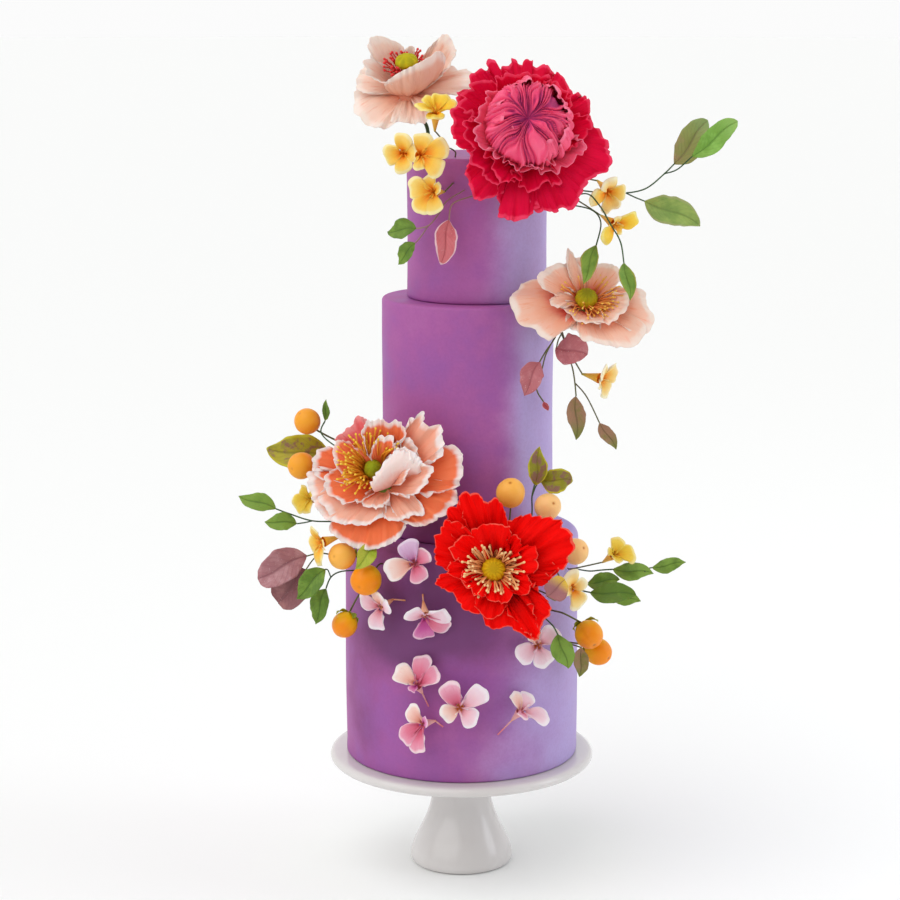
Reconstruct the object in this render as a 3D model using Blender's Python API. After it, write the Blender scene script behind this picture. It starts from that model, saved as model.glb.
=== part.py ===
"""Three-tier wedding cake on a pedestal stand, dressed with wired sugar flowers.

Metres, +Z up, the cake's front faces -Y. The origin is the centre of the stand's foot,
on the ground. Tables of sizes and places are in millimetres and degrees.
"""
import math

import bpy
import bmesh
from mathutils import Matrix, Vector

MM = 0.001
GAP = 0.3                       # clearance between pieces that touch

# --- stand -----------------------------------------------------------------------------
STAND_HEIGHT = 104.0
PLATE_RADIUS = 115.7
PLATE_THICKNESS = 9.0
# neck and foot as (radius, height), from under the plate down to the ground
STAND_BELL = [(31.0, 93.6), (26.4, 88.0), (25.6, 72.0), (27.0, 55.0), (30.8, 42.0), (34.4, 34.0),
              (41.2, 24.0), (44.8, 8.0), (41.0, 0.0)]

# --- tiers: x of the axis, radius, foot height, top height, rounding of the top edge -----
TIERS = {
    "bottom": (0.0, 101.5, STAND_HEIGHT + GAP, 303.0, 7.0),
    "middle": (5.0, 73.5, 303.0 + GAP, 505.0, 3.0),
    "top": (12.5, 59.5, 505.0 + GAP, 625.5, 3.0),
}

ROUND_SIDES = 32                # facets round the stand and the tiers
ROSE_SIDES = 24                 # facets round a large flower
PETAL_THICKNESS = 2.6           # of a large flower's petal layers
PETAL_BELLY = 12                # degrees by which a petal bellies out below the line to its tip
LAYER_NEST = 9                  # degrees kept between a petal layer and the one inside it
CALYX = (8.0, -9.0)             # radius and height of a large flower's underside
CALYX_END = -15.0               # height at which its wire begins
STEM_RADIUS = 1.6               # a large flower's wire
WIRE_RADIUS = 0.7               # the wires of small flowers, fruit and leaves

# --- colours (linear) --------------------------------------------------------------------
COLOURS = {
    "ceramic_white": (0.80, 0.79, 0.78, 0.15),
    "icing_violet": (0.30, 0.09, 0.32, 0.60),
    "sugar_blush": (0.90, 0.50, 0.40, 0.55),
    "sugar_magenta": (0.80, 0.03, 0.13, 0.50),
    "sugar_coral": (0.92, 0.38, 0.27, 0.55),
    "sugar_red": (0.90, 0.01, 0.01, 0.50),
    "sugar_yellow": (0.92, 0.62, 0.16, 0.55),
    "sugar_pink": (0.85, 0.45, 0.60, 0.55),
    "kumquat_orange": (0.90, 0.38, 0.05, 0.45),
    "leaf_green": (0.12, 0.25, 0.04, 0.50),
    "leaf_plum": (0.28, 0.09, 0.11, 0.50),
}

# --- large flowers ------------------------------------------------------------------------
# heart: where the petals meet; facing: azimuth from the front (+ to the right) and elevation
# core: (radius, height, sides) rings from the flower's middle outwards
# layers, inner first: petal tips as (angle, reach, lift); angle runs anticlockwise from the
# flower's right as seen from in front, lift is measured from the flower's own plane
# belly: how far out a petal is fullest, as a share of its reach
# root: where its wire enters the cake; way: points of the wire after that
POPPY_CORE = [(4, 17, 8), (10, 11, 8), (7, 5, 8), (11, 6, 24)]
BIG_FLOWERS = {
    "peony_blush": dict(
        colour="sugar_blush", heart=(-44, -4, 675), facing=(-8, 60),
        core=[(4, 30, 8), (9, 26, 8), (6, 10, 8), (10, 8, 24)],
        layers=[
            [(12, 56, 42), (38, 60, 51), (58, 46, 52), (85, 40, 58), (110, 48, 58),
             (145, 55, 50), (172, 44, 38), (205, 34, 42), (230, 36, 50), (262, 42, 58),
             (290, 49, 61), (318, 56, 60), (340, 59, 56)],
            [(-6, 56, 14), (30, 46, 30), (90, 40, 25), (140, 42, 20), (176, 48, 6),
             (196, 48, -4), (237, 45, -8), (268, 36, -4), (318, 38, 4)],
        ],
        root=("over", "top", (-26, -20)), way=[(-28, -14, 640), (-31, -8, 652)]),
    "peony_magenta": dict(
        colour="sugar_magenta", heart=(50, -70, 642), facing=(3, 23),
        core=[(4, 54, 12), (19, 56, 12), (31, 47, 24), (34, 30, 24), (26, 12, 24)], belly=0.8,
        layers=[
            [(10, 56, 32), (45, 56, 37), (72, 57, 40), (100, 60, 42), (145, 58, 38), (182, 60, 32),
             (215, 62, 28), (243, 62, 26), (272, 60, 26), (300, 60, 26), (335, 64, 30)],
            [(-14, 72, 16), (-30, 74, 13), (-57, 74, 12), (-75, 68, 9), (-98, 72, 7),
             (-123, 68, 7), (-147, 58, 9), (-175, 64, 16), (167, 65, 18), (142, 67, 17),
             (112, 68, 16), (84, 63, 16), (51, 57, 16), (26, 59, 18)],
        ],
        root=("side", "top", 42, 611)),
    "poppy_blush": dict(
        colour="sugar_blush", heart=(102, -57, 503), facing=(5, 50),
        core=POPPY_CORE,
        layers=[
            [(-18, 38, 30), (40, 34, 52), (100, 36, 56), (150, 34, 46), (186, 32, 30),
             (271, 35, 28)],
            [(2, 47, 22), (-19, 58, 12), (-44, 61, 8), (-63, 57, 6), (-100, 43, 6),
             (-132, 53, 5), (-173, 64, 12), (163, 52, 20), (138, 44, 30), (113, 48, 42),
             (88, 36, 40), (64, 39, 40), (35, 43, 34)],
        ],
        root=("side", "middle", 62, 482)),
    "peony_coral": dict(
        colour="sugar_coral", heart=(-65, -80, 356), facing=(-12, 36),
        core=[(4, 16, 8), (8, 12, 8), (7, 6, 8), (11, 7, 24)],
        layers=[
            [(25, 46, 50), (82, 50, 58), (120, 50, 55), (170, 40, 48), (215, 34, 45),
             (270, 30, 50), (325, 36, 58)],
            [(0, 62, 34), (35, 66, 32), (63, 66, 36), (82, 58, 42), (112, 61, 38),
             (147, 56, 32), (185, 52, 30), (225, 46, 25), (270, 44, 24), (315, 56, 28)],
            [(24, 68, 15), (2, 72, 13), (-12, 72, 11), (-28, 68, 9), (-43, 57, 6),
             (-60, 46, -2), (-86, 56, -5), (-115, 53, -4), (-134, 54, -2), (-160, 57, 12),
             (-175, 61, 16), (168, 60, 18), (145, 50, 22), (90, 46, 20), (55, 50, 20)],
        ],
        root=("over", "bottom", (-62, -62))),
    "poppy_red": dict(
        colour="sugar_red", heart=(26, -118, 293), facing=(-3, 20),
        core=POPPY_CORE,
        layers=[
            [(119, 50, 46), (75, 40, 50), (40, 38, 48), (-23, 36, 42), (-79, 34, 38),
             (-120, 36, 36), (-160, 42, 38)],
            [(111, 72, 26), (89, 68, 28), (74, 58, 30), (136, 63, 24), (157, 58, 20),
             (172, 55, 20), (-168, 52, 10), (-140, 42, 12), (-119, 41, 14), (-99, 45, 12),
             (-81, 50, 10), (-60, 63, 8), (-43, 58, 10), (-29, 54, 10), (-14, 40, 18),
             (12, 66, 16), (22, 71, 18), (39, 69, 22), (58, 58, 28)],
        ],
        root=("side", "bottom", 15, 286)),
}

# --- yellow blossoms: mouth, facing, root, points on the wire's way, petals -------------------
# a small flower's petals: angle, reach, lift and half width in degrees, anticlockwise
BLOSSOM_TUBE = 15.0
BLOSSOMS = {
    "blossom_top_1": ((-22, -71, 662), (5, 62), ("over", "top", (-14, -40)), [(-16, -54, 640)],
                      [(9, 19, 30, 36), (60, 20, 34, 34), (121, 18, 34, 30), (196, 20, 30, 34),
                       (262, 16, 20, 40)]),
    "blossom_top_2": ((-47, -50, 630), (-30, -5), ("over", "top", (-30, -14)),
                      [(-34, -20, 633)],
                      [(10, 17, 22, 40), (72, 20, 22, 38), (185, 18, 22, 42), (278, 17, 22, 42)]),
    "blossom_top_3": ((-34, -76, 630), (-8, 5), ("over", "top", (-6, -38)), [(-14, -48, 634)],
                      [(18, 27, 20, 44), (78, 20, 22, 38), (266, 14, 30, 34), (325, 25, 20, 42)]),
    "blossom_top_4": ((-22, -68, 600), (-30, 5), ("side", "top", -19, 606), [(-9, -60, 605)],
                      [(28, 15, 40, 30), (112, 16, 24, 38), (170, 23, 22, 38), (238, 22, 22, 36),
                       (288, 21, 24, 34)]),
    "blossom_right_1": ((119, -46, 600), (30, -25), ("side", "top", 66, 608), [(92, -30, 609)],
                        [(118, 22, 30, 34), (189, 23, 22, 34), (283, 20, 22, 40),
                         (358, 17, 24, 42)]),
    "blossom_right_2": ((124, -54, 573), (40, -20), ("side", "top", 58, 600), [(92, -38, 592)],
                        [(17, 22, 20, 32), (110, 12, 36, 30), (213, 21, 22, 34),
                         (325, 12, 30, 34)]),
    "blossom_middle": ((113, -58, 444), (60, -8), ("side", "middle", 56, 455),
                       [(92, -46, 452)],
                       [(18, 22, 24, 36), (134, 19, 28, 32), (215, 12, 30, 30),
                        (295, 18, 24, 40)]),
    "blossom_left_1": ((-114, -88, 311), (-60, -10), ("over", "bottom", (-78, -48)),
                       [(-86, -68, 316)],
                       [(0, 12, 30, 36), (106, 17, 26, 38), (196, 17, 26, 40),
                        (264, 21, 26, 38)]),
    "blossom_left_2": ((-127, -44, 338), (-50, 2), ("over", "bottom", (-84, -24)),
                       [(-96, -26, 328)],
                       [(30, 12, 28, 34), (132, 14, 26, 38), (209, 19, 24, 40),
                        (270, 14, 26, 38)]),
    "blossom_low_right": ((90, -94, 274), (32, -10), ("side", "bottom", 46, 288), [],
                          [(15, 14, 22, 40), (123, 24, 24, 36), (195, 12, 30, 34),
                           (291, 21, 20, 40)]),
    "blossom_far_right": ((127, -64, 293), (38, 34), ("side", "bottom", 62, 278), [],
                          [(63, 16, 26, 36), (160, 10, 30, 34), (270, 11, 30, 34),
                           (342, 20, 20, 40)]),
}

# --- kumquats: centre, radius, direction of the free end (azimuth, elevation), root, way -----
KUMQUATS = {
    "kumquat_left_1": ((-130, -52, 406), 12.0, (-50, 45), ("side", "middle", -52, 372),
                       [(-88, -44, 380), (-110, -44, 390)]),
    "kumquat_left_2": ((-135, -62, 370), 12.5, (-40, -5), ("side", "middle", -62, 352),
                       [(-92, -40, 358)]),
    "kumquat_left_3": ((-100, -91, 299), 11.5, (-35, 10), ("side", "bottom", -50, 296),
                       []),
    "kumquat_left_4": ((-80, -101, 281), 12.8, (-25, -15), ("side", "bottom", -41, 289), []),
    "kumquat_left_5": ((-99, -80, 237), 11.5, (-30, -50), ("side", "bottom", -45, 272),
                       [(-86, -86, 265)]),
    "kumquat_right_1": ((40, -92, 353), 11.3, (-5, 55), ("over", "bottom", (38, -82)), []),
    "kumquat_right_2": ((71, -90, 341), 11.8, (25, 25), ("over", "bottom", (60, -70)), []),
    "kumquat_right_3": ((95, -78, 300), 11.0, (40, 25), ("side", "bottom", 50, 293), []),
    "kumquat_right_4": ((107, -78, 228), 12.0, (25, -35), ("side", "bottom", 47, 247),
                        [(86, -86, 248)]),
    "kumquat_right_5": ((116, -64, 209), 11.5, (50, -20), ("side", "bottom", 60, 214), []),
}

# --- florets on the bottom tier: mouth, facing, tube's tip (angle, height), petals ------------
FLORET_TUBE = 8.0
FLORETS = {
    "floret_1": ((-39, -104, 296), (-8, 10), (-21.0, 293),
                 [(41, 17, 22, 34), (109, 22, 18, 36), (197, 26, 16, 34), (292, 18, 22, 34)]),
    "floret_2": ((-66, -97, 258), (-42, -14), (-27.5, 261),
                 [(20, 15, 24, 26), (74, 15, 20, 28), (158, 20, 18, 30), (261, 18, 22, 40)]),
    "floret_3": ((-31, -111, 255), (8, -36), (-18.7, 268),
                 [(19, 22, 20, 34), (141, 22, 20, 34), (270, 25, 18, 34), (328, 24, 18, 32)]),
    "floret_4": ((-37, -107, 191), (-22, 42), (-15.9, 171),
                 [(30, 24, 22, 32), (84, 26, 22, 36), (155, 24, 22, 36), (247, 10, 34, 34)]),
    "floret_5": ((-2, -112, 174), (0, 6), (-0.7, 169),
                 [(40, 29, 18, 36), (118, 27, 18, 34), (200, 18, 22, 36), (320, 19, 22, 38)]),
    "floret_6": ((-31, -110, 160), (-42, 4), (-8.9, 154),
                 [(30, 15, 36, 28), (133, 20, 22, 36), (221, 25, 22, 32), (272, 26, 20, 32)]),
    "floret_7": ((48, -103, 167), (42, 44), (16.9, 146),
                 [(40, 19, 24, 32), (99, 18, 26, 30), (228, 15, 34, 32), (317, 25, 18, 28)]),
    "floret_8": ((63, -91, 223), (12, 2), (39.2, 219),
                 [(44, 22, 20, 36), (110, 17, 22, 30), (204, 23, 20, 32), (288, 20, 20, 36)]),
}

# --- sprigs: each is one wire with its leaves ---------------------------------------------------
# stem: (root, points on the way); leaves: (wire points from the stem, tip, width, arch)
# a leaf's first wire point lies on the stem; face is the way the leaves' upper sides look
SPRIGS = {
    "sprig_top_right": dict(
        colour="leaf_green", face=(0.1, -1, 0.35), root=("side", "top", 78, 598),
        stem=[(95, -18, 597), (119, -22, 595), (137, -24, 595), (154, -24, 599),
              (169, -23, 611), (177, -22, 619)], tip=(206, -20, 655), width=26, arch=0.10,
        leaves=[([(169, -23, 611), (176, -16, 615), (183, -14, 620)], (228, -8, 655), 21, 0.1),
                ([(137, -24, 595), (144, -30, 592), (152, -33, 589)], (198, -40, 569), 24, 0.1)]),
    "sprig_hanging_short": dict(
        colour="leaf_green", face=(-0.3, -1, 0.3), root=("side", "top", 50, 592),
        stem=[(84, -46, 588), (106, -54, 584), (114, -60, 574), (110, -68, 556)],
        tip=(99, -84, 526), width=14, arch=0.06, leaves=[]),
    "sprig_hanging_long": dict(
        colour="leaf_green", face=(0.3, -1, 0.3), root=("side", "top", 42, 584),
        stem=[(80, -54, 590), (101, -64, 598), (112, -72, 589), (121, -78, 574),
              (129, -80, 560), (132, -80, 543)],
        tip=(137, -88, 513), width=13, arch=0.06, leaves=[]),
    "sprig_top_left": dict(
        colour="leaf_green", face=(-0.3, -1, 0.4), root=("side", "top", -11, 600),
        stem=[(-13, -67, 592), (-20, -68, 581), (-28, -66, 572), (-38, -62, 569)],
        tip=(-62, -52, 565), width=17, arch=0.08,
        leaves=[([(-28, -66, 572), (-34, -64, 563), (-39, -62, 557)], (-53, -58, 539), 14, 0.08)]),
    "leaf_rose_top": dict(
        colour="leaf_plum", face=(0.2, -1, 0.2), root=("side", "top", -4, 596),
        stem=[(-8, -68, 590), (-11, -71, 577)], tip=(-18, -76, 541), width=18, arch=0.12,
        leaves=[]),
    "sprig_middle_right": dict(
        colour="leaf_plum", face=(0.1, -1, 0.3), root=("side", "middle", 66, 466),
        stem=[(88, -48, 462), (92, -58, 452), (94, -60, 440), (95, -62, 429)],
        tip=(95, -67, 393), width=15, arch=0.08,
        leaves=[([(94, -60, 440), (104, -58, 428), (115, -59, 406)], (129, -63, 384), 11, 0.08),
                ([(88, -48, 462), (82, -60, 468), (78, -68, 470)], (102, -80, 468), 26, 0.12)]),
    "leaf_plum_middle": dict(
        colour="leaf_plum", face=(-0.2, -1, 0.2), root=("side", "middle", 44, 478),
        stem=[(66, -70, 466), (64, -74, 460)], tip=(51, -82, 433), width=19, arch=0.1,
        leaves=[]),
    "tendril_middle": dict(
        colour="leaf_plum", face=(0, -1, 0.2), root=("side", "middle", 52, 484),
        stem=[(74, -64, 474), (69, -66, 464), (66, -62, 451), (61, -62, 442), (63, -60, 432),
              (68, -59, 424)],
        tip=(72, -59, 416), width=5, arch=0.0, leaves=[]),
    "sprig_left_high": dict(
        colour="leaf_green", face=(0.2, -1, 0.1), root=("side", "middle", -44, 362),
        stem=[(-84, -66, 377), (-106, -68, 388), (-118, -62, 398), (-115, -56, 407)],
        tip=(-114, -54, 425), width=6, arch=0.05, leaves=[]),
    "leaf_olive_left": dict(
        colour="leaf_green", face=(-0.1, -1, 0.3), root=("side", "middle", -75, 362),
        stem=[(-90, -24, 368), (-112, -26, 374)], tip=(-166, -22, 384), width=40, arch=0.12,
        leaves=[]),
    "sprig_left_long": dict(
        colour="leaf_green", face=(-0.1, -1, 0.45), root=("over", "bottom", (-84, -48)),
        stem=[(-100, -58, 320), (-126, -64, 323), (-145, -60, 328), (-157, -58, 332)],
        tip=(-189, -50, 341), width=15, arch=0.08,
        leaves=[([(-126, -64, 323), (-132, -66, 322), (-139, -66, 321)], (-166, -68, 323), 15,
                 0.1)]),
    "sprig_left_plum": dict(
        colour="leaf_plum", face=(-0.2, -1, 0.2), root=("side", "bottom", -58, 290),
        stem=[(-108, -66, 294), (-120, -68, 296), (-131, -66, 293)], tip=(-172, -60, 278),
        width=32, arch=0.12,
        leaves=[([(-120, -68, 296), (-127, -72, 290), (-133, -75, 283)], (-157, -80, 250), 32,
                 0.12)]),
    "sprig_left_green": dict(
        colour="leaf_green", face=(-0.2, -1, 0.2), root=("side", "bottom", -54, 280),
        stem=[(-102, -76, 282), (-110, -84, 279), (-114, -86, 270)], tip=(-123, -90, 240),
        width=16, arch=0.1,
        leaves=[([(-110, -84, 279), (-112, -88, 286), (-114, -92, 288)], (-138, -98, 264), 19,
                 0.1)]),
    "leaf_bract_left": dict(
        colour="leaf_green", face=(0.1, -1, 0.4), root=("over", "bottom", (-66, -78)),
        stem=[(-72, -98, 310)], tip=(-88, -116, 294), width=15, arch=0.1, leaves=[]),
    "sprig_right_olive": dict(
        colour="leaf_green", face=(0.1, -1, 0.2), root=("over", "bottom", (54, -78)),
        stem=[(58, -82, 332), (58, -84, 348), (60, -84, 358)], tip=(64, -86, 391), width=16,
        arch=0.08,
        leaves=[([(58, -84, 348), (61, -82, 356), (65, -80, 361)], (92, -78, 361), 20, 0.15)]),
    "leaf_plum_round": dict(
        colour="leaf_plum", face=(0.1, -1, 0.1), root=("side", "bottom", 37, 268),
        stem=[(76, -108, 268), (76, -130, 271), (69, -143, 278)], tip=(83, -147, 293), width=19,
        arch=0.12,
        leaves=[]),
    "sprig_right_long": dict(
        colour="leaf_green", face=(0.1, -1, 0.3), root=("side", "bottom", 70, 274),
        stem=[(109, -50, 276), (120, -54, 278), (128, -56, 279)], tip=(163, -50, 274), width=15,
        arch=0.1,
        leaves=[([(155, -53.6, 276), (158, -50, 278), (162, -48, 278.5)], (191, -43, 282), 12,
                 0.08)]),
    "sprig_right_green": dict(
        colour="leaf_green", face=(0.1, -1, 0.45), root=("side", "bottom", 66, 262),
        stem=[(102, -62, 262), (108, -72, 263)], tip=(146, -78, 262), width=17, arch=0.1,
        leaves=[([(102, -62, 262), (106, -62, 268)], (134, -56, 270), 15, 0.1),
                ([(102, -62, 262), (118, -58, 257), (127, -58, 256)], (152, -56, 251), 12,
                 0.08)]),
    "leaf_green_low": dict(
        colour="leaf_green", face=(0.1, -1, 0.1), root=("side", "bottom", 36, 250),
        stem=[(74, -112, 246), (79, -114, 238)], tip=(88, -112, 208), width=18, arch=0.12,
        leaves=[]),
    "leaf_olive_low": dict(
        colour="leaf_green", face=(0.2, -1, 0.0), root=("side", "bottom", 51, 220),
        stem=[(92, -84, 221), (100, -94, 221)], tip=(98, -99, 197), width=13, arch=0.08,
        leaves=[]),
}

# --- outlines, as shares of a piece's length or reach ---------------------------------------------
NOTCH_SHARE = 0.60              # how far out the notches between a small flower's petals lie
CORNER_SHARE = 0.6              # a petal's corners, as a share of its half width
CORNER_ROOM = 0.38              # how near a corner may come to the next petal's middle
THROAT = ((5.2, -1.0), (4.4, 2.2), (2.2, 0.4))     # underside, inside and floor: radius, height
LEAF_WIDTHS = [(0.16, 0.66), (0.42, 1.0), (0.74, 0.64), (1.0, 0.05)]
LEAF_THICKNESS = 1.2
LEAF_FOLD = 0.16                # how far a leaf's edges rise over its rib, as a share of width
FRUIT_STATIONS = (25, 58, 90, 122, 155)


# ------------------------------------------------------------------------------------------------
# Basic construction
# ------------------------------------------------------------------------------------------------
def clear_scene():
    for item in list(bpy.data.objects):
        bpy.data.objects.remove(item, do_unlink=True)


def colour_material(name):
    """One Principled material for each colour of the table."""
    known = bpy.data.materials.get(name)
    if known:
        return known
    red, green, blue, roughness = COLOURS[name]
    made = bpy.data.materials.new(name)
    made.use_nodes = True
    shader = made.node_tree.nodes["Principled BSDF"]
    shader.inputs["Base Color"].default_value = (red, green, blue, 1.0)
    shader.inputs["Roughness"].default_value = roughness
    shader.inputs["Metallic"].default_value = 0.0
    return made


def bridge(mesh, first, second):
    """Faces between two rings; the longer one has a whole multiple of the shorter's points."""
    if len(first) >= len(second):
        ratio = len(first) // len(second)
        for j, inner in enumerate(second):
            after = second[(j + 1) % len(second)]
            for k in range(ratio):
                here = first[j * ratio + k]
                there = first[(j * ratio + k + 1) % len(first)]
                if k < ratio - 1:
                    mesh.faces.new((here, inner, there))
                elif ratio == 1:
                    mesh.faces.new((here, inner, after, there))
                else:
                    mesh.faces.new((here, inner, there))
                    mesh.faces.new((there, inner, after))
        return
    ratio = len(second) // len(first)
    for j, inner in enumerate(first):
        after = first[(j + 1) % len(first)]
        for k in range(ratio):
            here = second[j * ratio + k]
            there = second[(j * ratio + k + 1) % len(second)]
            mesh.faces.new((inner, here, there))
        mesh.faces.new((inner, there, after))


def skin(name, rings, colour, matrix=Matrix()):
    """One closed body through rings of points given in millimetres in the piece's own frame.

    The rings run from one end of the body to the other and all turn the same way.
    """
    mesh = bmesh.new()
    loops = [[mesh.verts.new(Vector(point) * MM) for point in ring] for ring in rings]
    mesh.faces.new(loops[0])
    for first, second in zip(loops, loops[1:]):
        bridge(mesh, first, second)
    mesh.faces.new(list(reversed(loops[-1])))
    bmesh.ops.triangulate(mesh, faces=mesh.faces[:])
    bmesh.ops.recalc_face_normals(mesh, faces=mesh.faces[:])
    data = bpy.data.meshes.new(name)
    mesh.to_mesh(data)
    mesh.free()
    data.shade_smooth()
    data.set_sharp_from_angle(angle=math.radians(40))
    data.materials.append(colour_material(colour))
    piece = bpy.data.objects.new(name, data)
    piece.matrix_world = matrix
    bpy.context.collection.objects.link(piece)
    return piece


def flat_ring(radius, height, sides, spin=0.0):
    turn = [math.radians(spin) + 2 * math.pi * k / sides for k in range(sides)]
    return [(radius * math.cos(a), radius * math.sin(a), height) for a in turn]


def arc(centre, radius, start, end, steps):
    """Points (radius, height) of a round stretch of a turned profile."""
    angles = [math.radians(start + (end - start) * k / steps) for k in range(steps + 1)]
    return [(centre[0] + radius * math.cos(a), centre[1] + radius * math.sin(a)) for a in angles]


def turned(name, profile, colour, location):
    """A body turned about +Z; the profile runs from the top down the outside."""
    rings = [flat_ring(radius, height, ROUND_SIDES) for radius, height in profile]
    return skin(name, rings, colour, Matrix.Translation(Vector(location) * MM))


def heading(azimuth, elevation):
    """Unit vector: azimuth turns from the front towards the right, elevation upwards."""
    a, e = math.radians(azimuth), math.radians(elevation)
    return Vector((math.sin(a) * math.cos(e), -math.cos(a) * math.cos(e), math.sin(e)))


def facing_frame(origin, axis):
    """Frame at origin (mm) whose +Z is the axis, with +X level and +Y upwards."""
    right = Vector((0, 0, 1)).cross(axis)
    right = right.normalized() if right.length > 1e-6 else Vector((1, 0, 0))
    up = axis.cross(right)
    frame = Matrix((right, up, axis)).transposed().to_4x4()
    frame.translation = Vector(origin) * MM
    return frame


# ------------------------------------------------------------------------------------------------
# Wires and swept bodies
# ------------------------------------------------------------------------------------------------
def tier_side(tier, angle, height, out=GAP):
    axis_x, radius = TIERS[tier][:2]
    a = math.radians(angle)
    return Vector((axis_x + (radius + out) * math.sin(a), -(radius + out) * math.cos(a), height))


def wire_root(root):
    """The first two points of a wire: at the icing, and a little way straight out of it."""
    if root[0] == "side":
        _, tier, angle, height = root
        return [tier_side(tier, angle, height), tier_side(tier, angle, height, 5.0)]
    _, tier, (x, y) = root
    top = TIERS[tier][3]
    return [Vector((x, y, top + GAP)), Vector((x, y, top + 5.0))]


def carried_frames(path, face):
    """(point, side, face) along a path; face is set at the end and carried back unturned."""
    count = len(path)
    tangents = [(path[min(k + 1, count - 1)] - path[max(k - 1, 0)]).normalized()
                for k in range(count)]
    frames = []
    normal = Vector(face)
    for point, tangent in zip(reversed(path), reversed(tangents)):
        normal = (normal - normal.dot(tangent) * tangent).normalized()
        frames.append((point, tangent.cross(normal), normal))
    return list(reversed(frames))


def round_section(frame, radius, sides):
    point, side, face = frame
    turn = [2 * math.pi * k / sides for k in range(sides)]
    return [point + radius * (math.sin(a) * face - math.cos(a) * side) for a in turn]


def leaf_section(frame, width, thickness, fold):
    """Folded blade: two sharp edges, a rib above and a keel below."""
    point, side, face = frame
    edge = face * fold
    return [point + side * width / 2 + edge, point + face * thickness / 2,
            point - side * width / 2 + edge, point - face * thickness / 2]


# ------------------------------------------------------------------------------------------------
# Pieces
# ------------------------------------------------------------------------------------------------
def build_stand():
    """Plate with a rounded rim on a neck that flares like a bell into the foot."""
    rim = PLATE_THICKNESS / 2
    profile = [(PLATE_RADIUS - rim, STAND_HEIGHT)]
    profile += arc((PLATE_RADIUS - rim, STAND_HEIGHT - rim), rim, 45, -90, 3)
    turned("cake_stand", profile + STAND_BELL, "ceramic_white", (0, 0, 0))


def build_tiers():
    for tier, (axis_x, radius, foot, top, edge) in TIERS.items():
        profile = arc((radius - edge, top - edge), edge, 90, 0, 2) + [(radius, foot)]
        turned("tier_" + tier, profile, "icing_violet", (axis_x, 0, 0))


def blend_tips(tips, angle):
    """Reach and lift of a petal layer at an angle, dipping between neighbouring tips."""
    tips = sorted((a % 360, reach, lift) for a, reach, lift in tips)
    for k, (start, reach, lift) in enumerate(tips):
        end, next_reach, next_lift = tips[(k + 1) % len(tips)]
        span = (end - start) % 360
        along = (angle - start) % 360
        if along < span:
            share = along / span
            ease = share * share * (3 - 2 * share)
            dip = 1 - min(span / 300, 0.2) * 4 * share * (1 - share)
            return ((reach + (next_reach - reach) * ease) * dip,
                    lift + (next_lift - lift) * ease)
    return tips[0][1:]


def petal_rings(layers, share):
    """Rings of the layered petals: up each inner side, over its rim and down its back."""
    angles = [360 * k / ROSE_SIDES for k in range(ROSE_SIDES)]
    ceiling = [90.0] * ROSE_SIDES
    rings = []
    for tips in layers:
        inside, rim, outside = [], [], []
        for k, angle in enumerate(angles):
            reach, lift = blend_tips(tips, angle)
            lift = min(lift, ceiling[k])
            ceiling[k] = lift - LAYER_NEST
            a, slope = math.radians(angle), math.radians(lift)
            belly = math.radians(lift - PETAL_BELLY)
            out, rise = reach * math.cos(slope), reach * math.sin(slope)
            mid_out = share * reach * math.cos(belly)
            mid_rise = share * reach * math.sin(belly)
            back_out = mid_out + PETAL_THICKNESS * math.sin(slope)
            back_rise = mid_rise - PETAL_THICKNESS * math.cos(slope)
            inside.append((mid_out * math.cos(a), mid_out * math.sin(a), mid_rise))
            rim.append((out * math.cos(a), out * math.sin(a), rise))
            outside.append((back_out * math.cos(a), back_out * math.sin(a), back_rise))
        rings += [inside, rim, outside]
    return rings


def build_big_flower(name, colour, heart, facing, core, layers, root, belly=0.55, way=()):
    """Centre, petal layers, calyx and wire as one closed body in the flower's own frame."""
    frame = facing_frame(heart, heading(*facing))
    to_local = frame.inverted()
    rings = [flat_ring(radius, height, sides) for radius, height, sides in core]
    rings += petal_rings(layers, belly)
    rings.append(flat_ring(*CALYX, 8))
    calyx_end = frame @ Vector((0, 0, CALYX_END * MM)) / MM
    wire = wire_root(root) + [Vector(p) for p in way] + [calyx_end]
    local_wire = [to_local @ (point * MM) / MM for point in wire]
    frames = carried_frames(local_wire, (0, 1, 0))
    rings += [round_section(place, STEM_RADIUS, 8) for place in reversed(frames)]
    skin(name, rings, colour, frame)


def petal_rim(petals):
    """Angle, reach and lift round a small flower: a notch, then a petal's two corners."""
    rim = []
    for k, (angle, reach, lift, half) in enumerate(petals):
        before, after = petals[k - 1], petals[(k + 1) % len(petals)]
        gap, next_gap = (angle - before[0]) % 360, (after[0] - angle) % 360
        low = min(CORNER_SHARE * half, CORNER_ROOM * gap)
        high = min(CORNER_SHARE * half, CORNER_ROOM * next_gap)
        notch = NOTCH_SHARE * min(reach, before[1])
        rim += [(angle - gap / 2, notch, (lift + before[2]) / 2), (angle - low, reach, lift),
                (angle + high, reach, lift)]
    return rim


def trumpet_rings(petals):
    """Underside, petalled rim, inside and floor of a small flower that faces +Z."""
    rim = petal_rim(petals)
    rings = [[], [], [], []]
    for k, (angle, reach, lift) in enumerate(rim):
        a, slope = math.radians(angle), math.radians(lift)
        stations = list(THROAT)
        stations.insert(1, (reach * math.cos(slope), 1.0 + reach * math.sin(slope)))
        for ring, (radius, height) in zip(rings, stations):
            ring.append((radius * math.cos(a), radius * math.sin(a), height))
    rings[3] = rings[3][::3]
    return rings


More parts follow.
